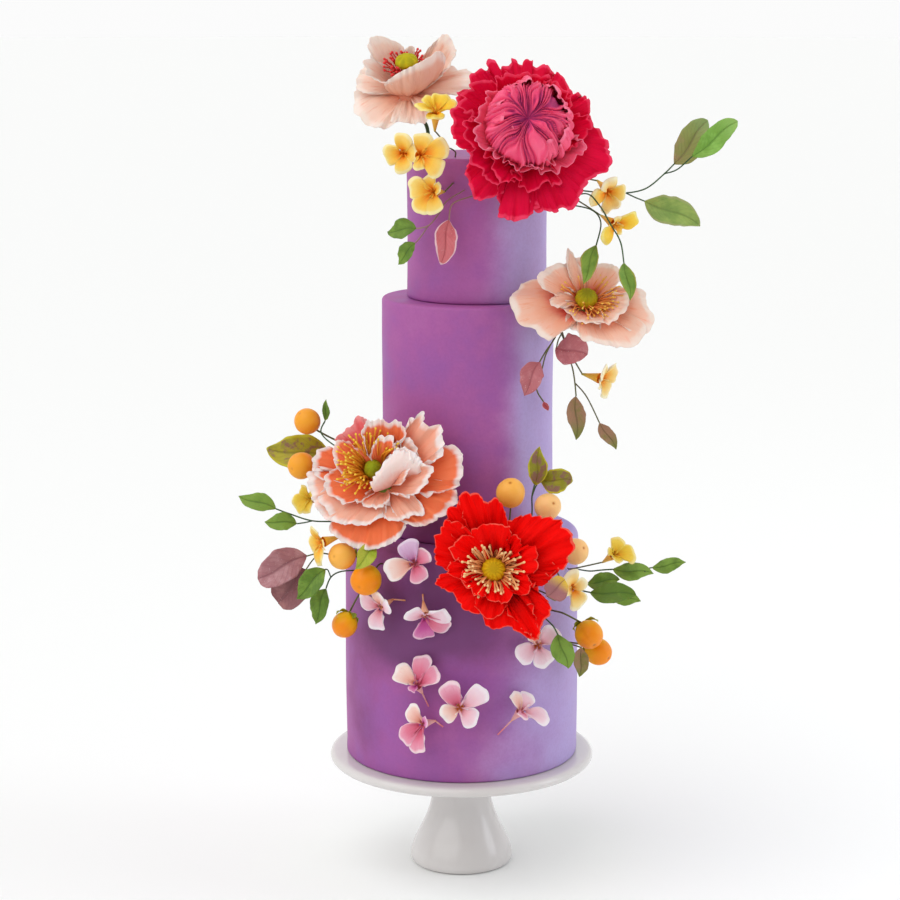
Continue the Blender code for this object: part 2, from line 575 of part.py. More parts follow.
def small_flower(name, colour, frame, tube, petals, wire):
    """Wire and tube from the cake, then the petalled mouth at the frame's origin."""
    to_local = frame.inverted()
    local_wire = [to_local @ (point * MM) / MM for point in wire]
    local_wire.append(Vector((0, 0, -tube)))
    first_notch = math.radians(petal_rim(petals)[0][0])
    face = (-math.sin(first_notch), math.cos(first_notch), 0)
    path = carried_frames(local_wire + [Vector((0, 0, -tube * 0.45)), Vector((0, 0, 0))], face)
    radii = [WIRE_RADIUS] * (len(path) - 2) + [2.4]
    rings = [round_section(place, radius, len(petals)) for place, radius in zip(path, radii)]
    skin(name, rings + trumpet_rings(petals), colour, frame)


def build_blossoms():
    for name, (mouth, facing, root, way, petals) in BLOSSOMS.items():
        frame = facing_frame(mouth, heading(*facing))
        wire = wire_root(root) + [Vector(p) for p in way]
        small_flower(name, "sugar_yellow", frame, BLOSSOM_TUBE, petals, wire)


def build_florets():
    for name, (mouth, facing, (angle, height), petals) in FLORETS.items():
        frame = facing_frame(mouth, heading(*facing))
        foot = tier_side("bottom", angle, height, 1.2)
        small_flower(name, "sugar_pink", frame, FLORET_TUBE, petals, [foot])


def build_kumquats():
    for name, (centre, radius, free_end, root, way) in KUMQUATS.items():
        axis = heading(*free_end)
        centre = Vector(centre)
        wire = wire_root(root) + [Vector(p) for p in way] + [centre - axis * radius * 1.02]
        along = [math.radians(station) for station in FRUIT_STATIONS]
        fruit = [centre - axis * radius * 1.05 * math.cos(a) for a in along]
        frames = carried_frames(wire + fruit, axis.orthogonal())
        rings = [round_section(frame, WIRE_RADIUS, 4) for frame in frames[:len(wire)]]
        rings += [round_section(frame, radius * math.sin(a), 8)
                  for frame, a in zip(frames[len(wire):], along)]
        skin(name, rings, "kumquat_orange")


def leaf_rings(wire, tip, width, arch, face):
    """Sections of a wire that ends in a leaf: the blade runs from the wire's end to the tip."""
    base, tip, face = Vector(wire[-1]), Vector(tip), Vector(face)
    blade = []
    for share, _ in LEAF_WIDTHS:
        bend = face.normalized() * arch * (tip - base).length * math.sin(math.pi * share)
        blade.append(base.lerp(tip, share) + bend)
    frames = carried_frames(wire + blade, face)
    rings = [leaf_section(frame, 2 * WIRE_RADIUS, 2 * WIRE_RADIUS, 0.0)
             for frame in frames[:len(wire)]]
    for frame, (_, share) in zip(frames[len(wire):], LEAF_WIDTHS):
        thickness = max(LEAF_THICKNESS * (0.4 + 0.6 * share), 0.5)
        rings.append(leaf_section(frame, width * share, thickness, width * share * LEAF_FOLD))
    return rings


def build_sprig(name, colour, face, root, stem, tip, width, arch, leaves):
    """The main wire with its end leaf; side leaves join it as one body."""
    wire = wire_root(root) + [Vector(p) for p in stem]
    sprig = skin(name, leaf_rings(wire, tip, width, arch, face), colour)
    for number, (points, side_tip, side_width, side_arch) in enumerate(leaves):
        side_wire = [Vector(p) for p in points]
        side_wire[0] = side_wire[0] + (side_wire[0] - side_wire[1]).normalized() * 0.3
        branch = skin(f"{name}_side_{number}",
                      leaf_rings(side_wire, side_tip, side_width, side_arch, face), colour)
        branch.hide_render = True
        branch.display_type = "WIRE"
        join = sprig.modifiers.new(f"join_{number}", "BOOLEAN")
        join.operation = "UNION"
        join.solver = "EXACT"
        join.object = branch


def main():
    clear_scene()
    build_stand()
    build_tiers()
    for name, flower in BIG_FLOWERS.items():
        build_big_flower(name, **flower)
    build_blossoms()
    build_kumquats()
    build_florets()
    for name, sprig in SPRIGS.items():
        build_sprig(name, **sprig)


main()
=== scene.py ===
"""Looks of a three-tier wedding cake with wired sugar flowers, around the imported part.

Tables are in millimetres and degrees. A flower's own frame has +Z along the way that it
faces, +X level to its right and +Y upwards.
"""

import math

import bpy
import numpy as np
from mathutils import Matrix, Vector


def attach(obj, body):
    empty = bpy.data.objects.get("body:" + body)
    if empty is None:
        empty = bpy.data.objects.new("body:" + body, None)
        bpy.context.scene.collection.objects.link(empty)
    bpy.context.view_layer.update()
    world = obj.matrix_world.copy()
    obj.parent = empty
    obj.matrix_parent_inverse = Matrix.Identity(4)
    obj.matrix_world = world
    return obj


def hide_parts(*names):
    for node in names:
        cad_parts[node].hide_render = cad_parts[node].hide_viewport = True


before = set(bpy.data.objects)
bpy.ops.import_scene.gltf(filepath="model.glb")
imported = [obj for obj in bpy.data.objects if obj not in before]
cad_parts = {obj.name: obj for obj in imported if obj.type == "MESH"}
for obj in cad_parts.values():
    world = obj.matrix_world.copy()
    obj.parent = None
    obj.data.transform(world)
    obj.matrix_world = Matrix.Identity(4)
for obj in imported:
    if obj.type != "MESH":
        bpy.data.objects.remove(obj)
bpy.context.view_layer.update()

MM = 0.001
CHANNELS = ("along", "across", "edge", "tint", "back")


# ------------------------------------------------------------------------------------------
# Meshes
# ------------------------------------------------------------------------------------------
class Gathered:
    """Points, faces and per-point values that become one piece."""

    def __init__(self):
        self.points, self.faces, self.slots = [], [], []
        self.values = {name: [] for name in CHANNELS}
        self.count = 0

    def add(self, points, faces, slot=0, **values):
        points = np.asarray(points, float).reshape(-1, 3)
        faces = np.asarray(faces)
        a, b, c = (points[faces[:, k]] for k in range(3))
        volume = np.einsum("ij,ij->i", a, np.cross(b, c)).sum()
        if faces.shape[1] == 4:
            d = points[faces[:, 3]]
            volume += np.einsum("ij,ij->i", a, np.cross(c, d)).sum()
        if volume < 0:
            faces = faces[:, ::-1]
        self.points.append(points)
        self.faces += (faces + self.count).tolist()
        self.slots += [slot] * len(faces)
        for name in CHANNELS:
            given = np.broadcast_to(np.asarray(values.get(name, 0.0), float).reshape(-1),
                                    (len(points),))
            self.values[name].append(given)
        self.count += len(points)

    def piece(self, name, materials, node, slot):
        """The finished object, riding on the part and standing for its node."""
        data = bpy.data.meshes.new(name)
        data.from_pydata((np.concatenate(self.points) * MM).tolist(), [], self.faces)
        for material in materials:
            data.materials.append(material)
        data.polygons.foreach_set("material_index", self.slots)
        data.polygons.foreach_set("use_smooth", [True] * len(data.polygons))
        for channel, parts in self.values.items():
            layer = data.attributes.new(channel, "FLOAT", "POINT")
            layer.data.foreach_set("value", np.concatenate(parts).astype(np.float32))
        data.update()
        made = bpy.data.objects.new(name, data)
        bpy.context.collection.objects.link(made)
        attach(made, "root")
        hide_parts(node)
        return made


def grid_faces(rows, columns, wrap=False):
    """Quads of a grid; with wrap, the last row joins the first."""
    i = np.arange(rows if wrap else rows - 1)
    j = np.arange(columns - 1)
    i, j = (part.ravel() for part in np.meshgrid(i, j, indexing="ij"))
    after = (i + 1) % rows
    return np.stack([i * columns + j, after * columns + j, after * columns + j + 1,
                     i * columns + j + 1], axis=1)


def shell(front, back):
    """Points and quads of a thin closed body between two grids."""
    rows, columns = front.shape[:2]
    size = rows * columns
    faces = grid_faces(rows, columns)
    grid = np.arange(size).reshape(rows, columns)
    border = np.concatenate([grid[:-1, 0], grid[-1, :-1], grid[:0:-1, -1], grid[0, :0:-1]])
    after = np.roll(border, -1)
    sides = np.stack([after, border, border + size, after + size], axis=1)
    points = np.concatenate([front.reshape(-1, 3), back.reshape(-1, 3)])
    return points, np.concatenate([faces, faces[:, ::-1] + size, sides])


def surface_normals(grid):
    across = np.gradient(grid, axis=0)
    along = np.gradient(grid, axis=1)
    normal = np.cross(across, along)
    return normal / np.maximum(np.linalg.norm(normal, axis=2, keepdims=True), 1e-9)


def smooth_rows(rows, count):
    """Rows on a smooth curve through the given ones."""
    rows = np.asarray(rows, float)
    t = np.linspace(0, len(rows) - 1, count)
    i = np.minimum(t.astype(int), len(rows) - 2)
    f = (t - i)[:, None]
    before, here = rows[np.maximum(i - 1, 0)], rows[i]
    there, later = rows[i + 1], rows[np.minimum(i + 2, len(rows) - 1)]
    return 0.5 * (2 * here + (there - before) * f
                  + (2 * before - 5 * here + 4 * there - later) * f ** 2
                  + (3 * here - before - 3 * there + later) * f ** 3)


def even_rows(rows, count):
    """As smooth_rows, with even steps along the curve."""
    dense = smooth_rows(rows, 40 * len(rows))
    steps = np.linalg.norm(np.diff(dense[:, :3], axis=0), axis=1)
    length = np.concatenate([[0], np.cumsum(steps)]) / steps.sum()
    where = np.linspace(0, 1, count)
    return np.stack([np.interp(where, length, column) for column in dense.T], axis=1)


def smoothstep(low, high, value):
    share = np.clip((value - low) / (high - low), 0, 1)
    return share * share * (3 - 2 * share)


def waves_of(rng, value, frequency, count=3):
    """A smooth random wave of about that many periods over 0 to 1, between about -1 and 1."""
    total = 0
    for k in range(count):
        pitch = frequency * (0.55 + 0.5 * k + 0.2 * rng.random())
        total = total + np.sin(2 * np.pi * (pitch * value + rng.random())) / (1 + 0.4 * k)
    return total / 1.6


def heading(azimuth, elevation):
    a, e = math.radians(azimuth), math.radians(elevation)
    return np.array([math.sin(a) * math.cos(e), -math.cos(a) * math.cos(e), math.sin(e)])


class Place:
    """A frame at a point, facing along an axis."""

    def __init__(self, origin, axis):
        axis = np.asarray(axis, float) / np.linalg.norm(axis)
        right = np.cross([0, 0, 1], axis)
        if np.linalg.norm(right) < 1e-6:
            right = np.array([1.0, 0, 0])
        right /= np.linalg.norm(right)
        self.turn = np.stack([right, np.cross(axis, right), axis], axis=1)
        self.origin = np.asarray(origin, float)

    def out(self, points):
        return np.asarray(points) @ self.turn.T + self.origin


def carried_frames(path, face):
    """Side and face vectors along a path, with the face kept as steady as it can be."""
    tangents = np.gradient(path, axis=0)
    tangents /= np.linalg.norm(tangents, axis=1, keepdims=True)
    normal = np.asarray(face, float)
    sides, faces = [], []
    for tangent in tangents[::-1]:
        normal = normal - normal.dot(tangent) * tangent
        normal = normal / np.linalg.norm(normal)
        sides.append(np.cross(tangent, normal))
        faces.append(normal)
    return np.array(sides[::-1]), np.array(faces[::-1])


def tube(gathered, path, radii, sides=8, slot=0, face=(0.13, -1, 0.21), place=None, **values):
    """A round closed body along a path."""
    path = np.asarray(path, float)
    radii = np.broadcast_to(np.asarray(radii, float), (len(path),))
    side, normal = carried_frames(path, face)
    turn = np.linspace(0, 2 * np.pi, sides, endpoint=False)
    ring = (np.cos(turn)[:, None, None] * side + np.sin(turn)[:, None, None] * normal)
    points = (path + ring * radii[:, None]).reshape(-1, 3)
    count = len(path)
    faces = grid_faces(sides, count, wrap=True)
    ends = np.array([path[0], path[-1]])
    first, last = len(points), len(points) + 1
    k = np.arange(sides)
    after = (k + 1) % sides
    caps = [np.stack([after * count, k * count, np.full(sides, first),
                      np.full(sides, first)], axis=1),
            np.stack([k * count + count - 1, after * count + count - 1,
                      np.full(sides, last), np.full(sides, last)], axis=1)]
    points = np.concatenate([points, ends])
    if place:
        points = place.out(points)
    share = np.linspace(0, 1, count)
    values.setdefault("along", np.concatenate([np.tile(share, sides), [0, 1]]))
    gathered_faces = np.concatenate([faces] + caps)
    add_mixed(gathered, points, gathered_faces, slot, **values)


def add_mixed(gathered, points, faces, slot, **values):
    """Adds quads of which some repeat their last point, as triangles where they do."""
    quads = faces[faces[:, 2] != faces[:, 3]]
    threes = faces[faces[:, 2] == faces[:, 3]][:, :3]
    points = np.asarray(points, float)
    a, b, c = (points[quads[:, k]] for k in range(3))
    d = points[quads[:, 3]]
    volume = (np.einsum("ij,ij->i", a, np.cross(b, c)).sum()
              + np.einsum("ij,ij->i", a, np.cross(c, d)).sum())
    a, b, c = (points[threes[:, k]] for k in range(3))
    volume += np.einsum("ij,ij->i", a, np.cross(b, c)).sum()
    if volume < 0:
        quads, threes = quads[:, ::-1], threes[:, ::-1]
    gathered.points.append(points)
    gathered.faces += (quads + gathered.count).tolist() + (threes + gathered.count).tolist()
    gathered.slots += [slot] * (len(quads) + len(threes))
    for name in CHANNELS:
        given = np.broadcast_to(np.asarray(values.get(name, 0.0), float).reshape(-1),
                                (len(points),))
        gathered.values[name].append(given)
    gathered.count += len(points)


def turned(gathered, rows, sides, shape=None, place=None, slot=0, **values):
    """A closed body turned about +Z; rows are (radius, height) from the top to the bottom.

    shape(points, turn, share) may move the points; the first and last rows are closed.
    """
    rows = np.asarray(rows, float)
    turn = np.linspace(0, 2 * np.pi, sides, endpoint=False)
    share = np.linspace(0, 1, len(rows))
    grid = np.stack([np.cos(turn)[:, None] * rows[:, 0], np.sin(turn)[:, None] * rows[:, 0],
                     np.broadcast_to(rows[:, 1], (sides, len(rows)))], axis=2)
    if shape:
        grid = shape(grid, turn[:, None], share[None, :])
    count = len(rows)
    points = np.concatenate([grid.reshape(-1, 3), [grid[:, 0].mean(axis=0)],
                             [grid[:, -1].mean(axis=0)]])
    k = np.arange(sides)
    after = (k + 1) % sides
    first, last = sides * count, sides * count + 1
    faces = [grid_faces(sides, count, wrap=True),
             np.stack([after * count, k * count, np.full(sides, first),
                       np.full(sides, first)], axis=1),
             np.stack([k * count + count - 1, after * count + count - 1,
                       np.full(sides, last), np.full(sides, last)], axis=1)]
    spread = {"along": np.concatenate([np.tile(share, sides), [0, 1]])}
    for name, given in values.items():
        given = np.asarray(given, float)
        if given.shape == (sides, count):
            given = np.concatenate([given.ravel(), [given[:, 0].mean(), given[:, -1].mean()]])
        spread[name] = given
    if place:
        points = place.out(points)
    add_mixed(gathered, points, np.concatenate(faces), slot, **spread)


# ------------------------------------------------------------------------------------------
# Materials
# ------------------------------------------------------------------------------------------
class Shader:
    """A Principled material and short calls that add nodes to it."""

    def __init__(self, name, roughness=0.5, subsurface=0.0, radius=(1.0, 0.4, 0.25),
                 scale=0.004, specular=0.5, coat=0.0, sheen=0.0):
        self.material = bpy.data.materials.new(name)
        self.material.use_nodes = True
        self.tree = self.material.node_tree
        self.main = self.tree.nodes["Principled BSDF"]
        inputs = self.main.inputs
        inputs["Roughness"].default_value = roughness
        inputs["Subsurface Weight"].default_value = subsurface
        inputs["Subsurface Radius"].default_value = radius
        inputs["Subsurface Scale"].default_value = scale
        inputs["Specular IOR Level"].default_value = specular
        inputs["Coat Weight"].default_value = coat
        inputs["Coat Roughness"].default_value = 0.12
        inputs["Sheen Weight"].default_value = sheen

    def node(self, kind, output=0, settings=(), **inputs):
        made = self.tree.nodes.new(kind)
        for key, value in dict(settings).items():
            setattr(made, key, value)
        for key, value in inputs.items():
            socket = made.inputs[int(key[1:])] if key[0] == "_" else made.inputs[key]
            if isinstance(value, bpy.types.NodeSocket):
                self.tree.links.new(value, socket)
            else:
                socket.default_value = value
        return made.outputs[output]

    def value(self, name):
        return self.node("ShaderNodeAttribute", 2, {"attribute_name": name})

    def math(self, operation, first, second=0.0, clamp=False):
        return self.node("ShaderNodeMath", 0, {"operation": operation, "use_clamp": clamp},
                         _0=first, _1=second)

    def vector(self, x, y, z):
        return self.node("ShaderNodeCombineXYZ", X=x, Y=y, Z=z)

    def place(self):
        return self.node("ShaderNodeTexCoord", 3)

    def noise(self, vector, scale, detail=3.0, roughness=0.55, distortion=0.0):
        return self.node("ShaderNodeTexNoise", 0, Vector=vector, Scale=scale, Detail=detail,
                         Roughness=roughness, Distortion=distortion)

    def spots(self, vector, scale):
        return self.node("ShaderNodeTexVoronoi", 0, Vector=vector, Scale=scale)

    def ramp(self, factor, stops):
        made = self.tree.nodes.new("ShaderNodeValToRGB")
        bar = made.color_ramp.elements
        while len(bar) < len(stops):
            bar.new(0.5)
        for element, (where, colour) in zip(bar, stops):
            element.position = where
            element.color = (*colour, 1) if len(colour) == 3 else colour
        self.tree.links.new(factor, made.inputs[0])
        return made.outputs[0]

    def range(self, factor, low, high, start=0.0, end=1.0):
        return self.node("ShaderNodeMapRange", 0, {"interpolation_type": "SMOOTHSTEP"},
                         _0=factor, _1=low, _2=high, _3=start, _4=end)

    def mix(self, factor, first, second, blend="MIX"):
        made = self.tree.nodes.new("ShaderNodeMix")
        made.data_type = "RGBA"
        made.blend_type = blend
        for socket, value in ((made.inputs[0], factor), (made.inputs[6], first),
                              (made.inputs[7], second)):
            if isinstance(value, bpy.types.NodeSocket):
                self.tree.links.new(value, socket)
            else:
                socket.default_value = (*value, 1) if isinstance(value, tuple) else value
        return made.outputs[2]

    def bump(self, height, strength, distance=0.001):
        made = self.tree.nodes.new("ShaderNodeBump")
        made.inputs["Strength"].default_value = strength
        made.inputs["Distance"].default_value = distance
        self.tree.links.new(height, made.inputs["Height"])
        self.tree.links.new(made.outputs[0], self.main.inputs["Normal"])

    def finish(self, colour, roughness=None):
        self.tree.links.new(colour, self.main.inputs["Base Color"])
        if roughness is not None:
            self.tree.links.new(roughness, self.main.inputs["Roughness"])
        return self.material


def sugar_petal(name, inner, middle, outer, edge, streak, edge_from=0.55, back=None,
                streaks=0.5, roughness=0.5, patch=None, specular=0.22, subsurface=0.12,
                stops=(0.12, 0.45, 0.85), rim_noise=0.5, relief=0.45, sides=None):
    """Sugar paste dusted from the heart of the flower to its rim, with fine veins."""
    s = Shader(name, roughness, subsurface=subsurface, scale=0.003, specular=specular)
    along, across, tint = s.value("along"), s.value("across"), s.value("tint")
    veins_at = s.vector(s.math("MULTIPLY", across, 16.0), s.math("MULTIPLY", along, 1.6),
                        s.math("MULTIPLY", tint, 23.0))
    veins = s.noise(veins_at, 2.2, 4.0, 0.6)
    cloud = s.noise(s.place(), 55.0, 3.0, 0.5)
    shift = s.math("ADD", along, s.math("MULTIPLY", s.math("SUBTRACT", cloud, 0.5), 0.35))
    shift = s.math("ADD", shift, s.math("MULTIPLY", s.math("SUBTRACT", veins, 0.5), 0.22))
    shift = s.math("ADD", shift, s.math("MULTIPLY", s.math("SUBTRACT", tint, 0.5), 0.16))
    colour = s.ramp(shift, list(zip(stops, (inner, middle, outer))))
    fine = s.range(veins, 0.52, 0.72)
    colour = s.mix(s.math("MULTIPLY", fine, streaks), colour, streak)
    if patch:
        colour = s.mix(s.range(s.noise(s.place(), 32.0, 2.0), 0.54, 0.70, 0.0, 0.6),
                       colour, patch)
    if back:
        colour = s.mix(s.math("MULTIPLY", s.value("back"), 0.75), colour, back)
    # sides: darker towards both side edges of the petal, painted shade between overlapping petals
    if sides:
        off = s.math("ABSOLUTE", s.math("SUBTRACT", across, 0.5))
        colour = s.mix(s.range(off, 0.28, 0.48, 0.0, 0.85), colour, sides)
    rim = s.math("ADD", s.value("edge"), s.math("MULTIPLY", s.math("SUBTRACT", cloud, 0.5),
                                                rim_noise))
    colour = s.mix(s.range(rim, edge_from, 1.0), colour, edge)
    grain = s.noise(s.place(), 900.0, 2.0, 0.6)
    s.bump(s.math("ADD", veins, s.math("MULTIPLY", grain, 0.12)), relief, 0.0009)
    return s.finish(colour, s.range(grain, 0.3, 0.7, roughness - 0.06, roughness + 0.1))


def plain_sugar(name, stops, roughness=0.5, bump=0.3, scale=700.0, subsurface=0.1,
                spread=0.3):
    """A gradient along a small piece, with fine grain."""
    s = Shader(name, roughness, subsurface=subsurface, scale=0.002, specular=0.25)
    cloud = s.noise(s.place(), 160.0, 3.0)
    factor = s.math("ADD", s.value("along"),
                    s.math("MULTIPLY", s.math("SUBTRACT", cloud, 0.5), spread))
    grain = s.noise(s.place(), scale, 3.0, 0.6)
    s.bump(grain, bump, 0.0006)
    return s.finish(s.ramp(factor, stops), s.range(grain, 0.3, 0.7, roughness - 0.05,
                                                   roughness + 0.1))


def leaf_material(name, low, high, vein, rim=None, specks=0.0, patches=None, tip=None):
    """A veined leaf; across runs from -1 to 1 over the rib."""
    s = Shader(name, 0.42, subsurface=0.06, scale=0.0015, specular=0.3)
    along, across, tint = s.value("along"), s.value("across"), s.value("tint")
    off = s.math("ABSOLUTE", across)
    cloud = s.noise(s.place(), 75.0, 4.0, 0.6)
    colour = s.mix(s.range(s.math("ADD", cloud, s.math("MULTIPLY",
                   s.math("SUBTRACT", tint, 0.5), 0.3)), 0.36, 0.64), low, high)
    if patches:
        colour = s.mix(s.range(s.noise(s.place(), 110.0, 3.0, 0.6), 0.47, 0.60, 0.0, 0.85),
                       colour, patches)
    if tip:
        colour = s.mix(s.range(along, 0.45, 1.0, 0.0, 0.8), colour, tip)
    slant = s.math("SUBTRACT", s.math("MULTIPLY", along, 9.0), s.math("MULTIPLY", off, 3.0))
    wave = s.math("ABSOLUTE", s.math("SUBTRACT", s.math("FRACT", slant), 0.5))
    side_veins = s.range(wave, 0.0, 0.10, 1.0, 0.0)
    rib = s.range(off, 0.02, 0.12, 1.0, 0.0)
    lines = s.math("MAXIMUM", rib, s.math("MULTIPLY", side_veins, 0.45))
    colour = s.mix(s.math("MULTIPLY", lines, 0.55), colour, vein)
    if rim:
        colour = s.mix(s.range(s.math("ADD", s.value("edge"), s.math("MULTIPLY",
                       s.math("SUBTRACT", cloud, 0.5), 0.6)), 0.55, 0.8), colour, rim)
    if specks:
        dots = s.range(s.spots(s.place(), 620.0), 0.0, 0.24, 1.0, 0.0)
        some = s.range(s.noise(s.place(), 240.0, 2.0), 0.52, 0.60)
        colour = s.mix(s.math("MULTIPLY", s.math("MULTIPLY", dots, some), specks), colour,
                       (0.86, 0.72, 0.74))
    height = s.math("ADD", s.math("MULTIPLY", lines, -0.8), s.math("MULTIPLY",
                    s.noise(s.place(), 500.0, 3.0), 0.35))
    s.bump(height, 0.6, 0.0008)
    return s.finish(colour, s.range(cloud, 0.3, 0.7, 0.36, 0.52))


def icing_material(name, base, dark, lavender, rose):
    """Soft fondant, airbrushed in clouds of violet, lavender and rose. The lavender on the right sides is
    partly airbrush and partly painted cool reflected light; the dark clouds from edge are painted shade
    under the flowers and at the tier joints.
    """
    s = Shader(name, 0.55, subsurface=0.08, scale=0.003, specular=0.25)
    cloud = s.noise(s.place(), 9.0, 5.0, 0.6, 0.3)
    wisps = s.noise(s.place(), 28.0, 4.0, 0.6)
    fine = s.noise(s.place(), 420.0, 3.0, 0.7)
    wander = s.math("MULTIPLY", s.math("SUBTRACT", cloud, 0.5), 0.55)
    wander = s.math("ADD", wander, s.math("MULTIPLY", s.math("SUBTRACT", wisps, 0.5), 0.7))
    blotch = s.math("ADD", s.math("MULTIPLY", cloud, 0.55), s.math("MULTIPLY", wisps, 0.45))
    colour = s.mix(s.range(blotch, 0.40, 0.60), base, rose)
    # lavender on the right sides: partly airbrush, partly painted cool reflected light
    colour = s.mix(s.range(s.math("ADD", s.value("along"), wander), 0.0, 1.1), colour,
                   lavender)
    colour = s.mix(s.range(s.math("ADD", s.value("tint"), wander), 0.2, 1.0, 0.0, 0.9),
                   colour, rose)
    # the dark clouds (edge): painted shade under the flowers and at the tier joints
    colour = s.mix(s.range(s.math("ADD", s.value("edge"), wander), 0.2, 1.1, 0.0, 0.9),
                   colour, dark)
    colour = s.mix(s.range(fine, 0.35, 0.7, 0.0, 0.10), colour, dark)
    s.bump(s.math("ADD", s.math("MULTIPLY", fine, 0.35), wisps), 0.18, 0.0012)
    return s.finish(colour, s.range(wisps, 0.3, 0.7, 0.50, 0.64))


def ceramic_material():
    s = Shader("glazed_ceramic", 0.16, specular=0.45, coat=0.15)
    cloud = s.noise(s.place(), 14.0, 3.0)
    colour = s.mix(s.range(cloud, 0.35, 0.7), (0.68, 0.655, 0.65), (0.64, 0.61, 0.60))
    s.bump(s.noise(s.place(), 60.0, 2.0), 0.06, 0.002)
    return s.finish(colour, s.range(cloud, 0.3, 0.7, 0.16, 0.24))


def peel_material(name, low, high):
    """Kumquat: orange peel with fine pores."""
    s = Shader(name, 0.42, subsurface=0.15, scale=0.003, radius=(1.0, 0.5, 0.15), specular=0.3)
    cloud = s.noise(s.place(), 70.0, 3.0)
    factor = s.math("ADD", s.value("along"), s.math("MULTIPLY",
                    s.math("SUBTRACT", cloud, 0.5), 0.7))
    colour = s.mix(s.range(factor, 0.2, 0.9), low, high)
    colour = s.mix(s.value("edge"), colour, (0.50, 0.14, 0.01))
    pores = s.spots(s.place(), 900.0)
    s.bump(s.math("ADD", s.math("MULTIPLY", pores, 0.5), s.noise(s.place(), 260.0, 3.0)),
           0.25, 0.0008)
    return s.finish(colour, s.range(cloud, 0.3, 0.7, 0.36, 0.5))


# ------------------------------------------------------------------------------------------
# Parts of flowers and leaves
# ------------------------------------------------------------------------------------------
def polar(angle, reach, lift):
    a, e = np.radians(angle), np.radians(lift)
    return np.stack([reach * np.cos(e) * np.cos(a), reach * np.cos(e) * np.sin(a),
                     reach * np.sin(e)], axis=-1)


def petal(gathered, place, rim, seed, bow=18.0, curl=0.0, ruffle=1.6, waves=6.0, frill=0.03,
          spread=0.15, thick=0.8, start=0.1, steps=(64, 20), slot=0, base=(0, 0, 0),
          crimp=None, crease=0.0):
    """A petal from the heart out to a rim of (angle, reach, lift) points.

    bow: degrees by which it leaves the heart above the straight way to its rim;
    curl: degrees by which its last third bends back; crimp: length and height of the fine
    waves of its rim; crease: height of the sharp folds that run down it.
    """
    rng = np.random.default_rng(seed)
    rows = np.asarray(rim, float)
    rows[:, 0] = np.degrees(np.unwrap(np.radians(rows[:, 0])))
    dense = smooth_rows(rows, 300)
    gaps = np.linalg.norm(np.diff(polar(*dense.T), axis=0), axis=1)
    length = np.concatenate([[0], np.cumsum(gaps)]) / gaps.sum()
    u = np.linspace(0, 1, steps[0])
    angle, reach, lift = (np.interp(u, length, dense[:, k])[:, None] for k in range(3))
    u = u[:, None]
    warp = waves * (u + 0.22 / waves * waves_of(rng, u, 0.6 * waves))
    lobes = np.abs(np.sin(np.pi * warp)) ** 0.7
    reach = reach * (1 + frill * (lobes - 0.7) + 0.4 * frill * waves_of(rng, u, waves))
    fine = 0
    if crimp:
        turns = gaps.sum() / crimp[0]
        phase = 2 * np.pi * (turns * u + 0.3 * waves_of(rng, u, 0.4 * turns))
        size = crimp[1] * (0.7 + 0.5 * waves_of(rng, u, 0.3 * turns))
        reach = reach + 0.9 * size * (np.abs(np.sin(0.5 * phase + 0.6)) ** 0.7 - 0.7)
        fine = size * np.cos(phase)
    v = start + (1 - start) * (1 - (1 - np.linspace(0, 1, steps[1])) ** 1.4)[None, :]
    t = np.linspace(0, 1, 61)
    bend = np.radians(bow * (1 - 2 * t) - curl * smoothstep(0.6, 1.0, t))
    flat = np.stack([np.cumsum(np.cos(bend)), np.cumsum(np.sin(bend))])
    flat -= flat[:, :1]
    size = math.hypot(*flat[:, -1])
    tilt = math.atan2(flat[1, -1], flat[0, -1])
    flat = np.array([[math.cos(tilt), math.sin(tilt)],
                     [-math.sin(tilt), math.cos(tilt)]]) @ flat / size
    out, rise = (np.interp(v, t, row) for row in flat)
    slope = np.radians(lift)
    wide = reach * (out * np.cos(slope) - rise * np.sin(slope))
    high = reach * (out * np.sin(slope) + rise * np.cos(slope))
    middle = angle.mean()
    fan = np.radians(middle + (angle - middle) * (1 + spread * np.sin(np.pi * v)))
    grid = np.stack([wide * np.cos(fan), wide * np.sin(fan), high + 0 * fan], axis=2)
    normal = surface_normals(grid)
    if normal[:, :, 2].mean() < 0:
        normal = -normal
    side = np.abs(2 * u - 1)
    weight = v ** 3 + 0.45 * side ** 6 * v
    wave = (0.8 * np.cos(2 * np.pi * warp + 0.8 * v)
            + 0.7 * waves_of(rng, u + 0.03 * np.sin(5 * v), 0.55 * waves))
    pleat = waves_of(rng, u, 2.0) * np.sin(np.pi * v)
    folds = 1 - 2 * np.abs(waves_of(rng, u + 0.03 * np.sin(5 * v + 4 * u), 3.2))
    move = (ruffle * weight * wave + 0.35 * ruffle * pleat + fine * v ** 7
            + crease * folds * np.sin(np.pi * np.minimum(v, 0.93)) ** 0.6)
    grid = grid + normal * move[:, :, None] + np.asarray(base, float)
    add_blade(gathered, place, grid, normal, u, v, thick, slot, rng)


def add_blade(gathered, place, grid, normal, u, v, thick, slot, rng):
    """Both sides of a petal, with its values from heart to rim and from side to side."""
    side = np.abs(2 * u - 1)
    body = thick * (1 - 0.45 * v ** 4) + 0 * u
    back = grid - normal * body[:, :, None]
    edge = np.maximum(smoothstep(0.55, 1.0, v + 0 * u),
                      smoothstep(0.8, 1.0, side) * smoothstep(0.35, 0.8, v))
    points, faces = shell(grid, back)
    n = grid.shape[0] * grid.shape[1]
    flags = np.repeat([0.0, 1.0], n)
    gathered.add(place.out(points), faces, slot, along=np.tile((v + 0 * u).ravel(), 2),
                 across=np.tile((u + 0 * v).ravel(), 2), edge=np.tile(edge.ravel(), 2),
                 tint=rng.random(), back=flags)


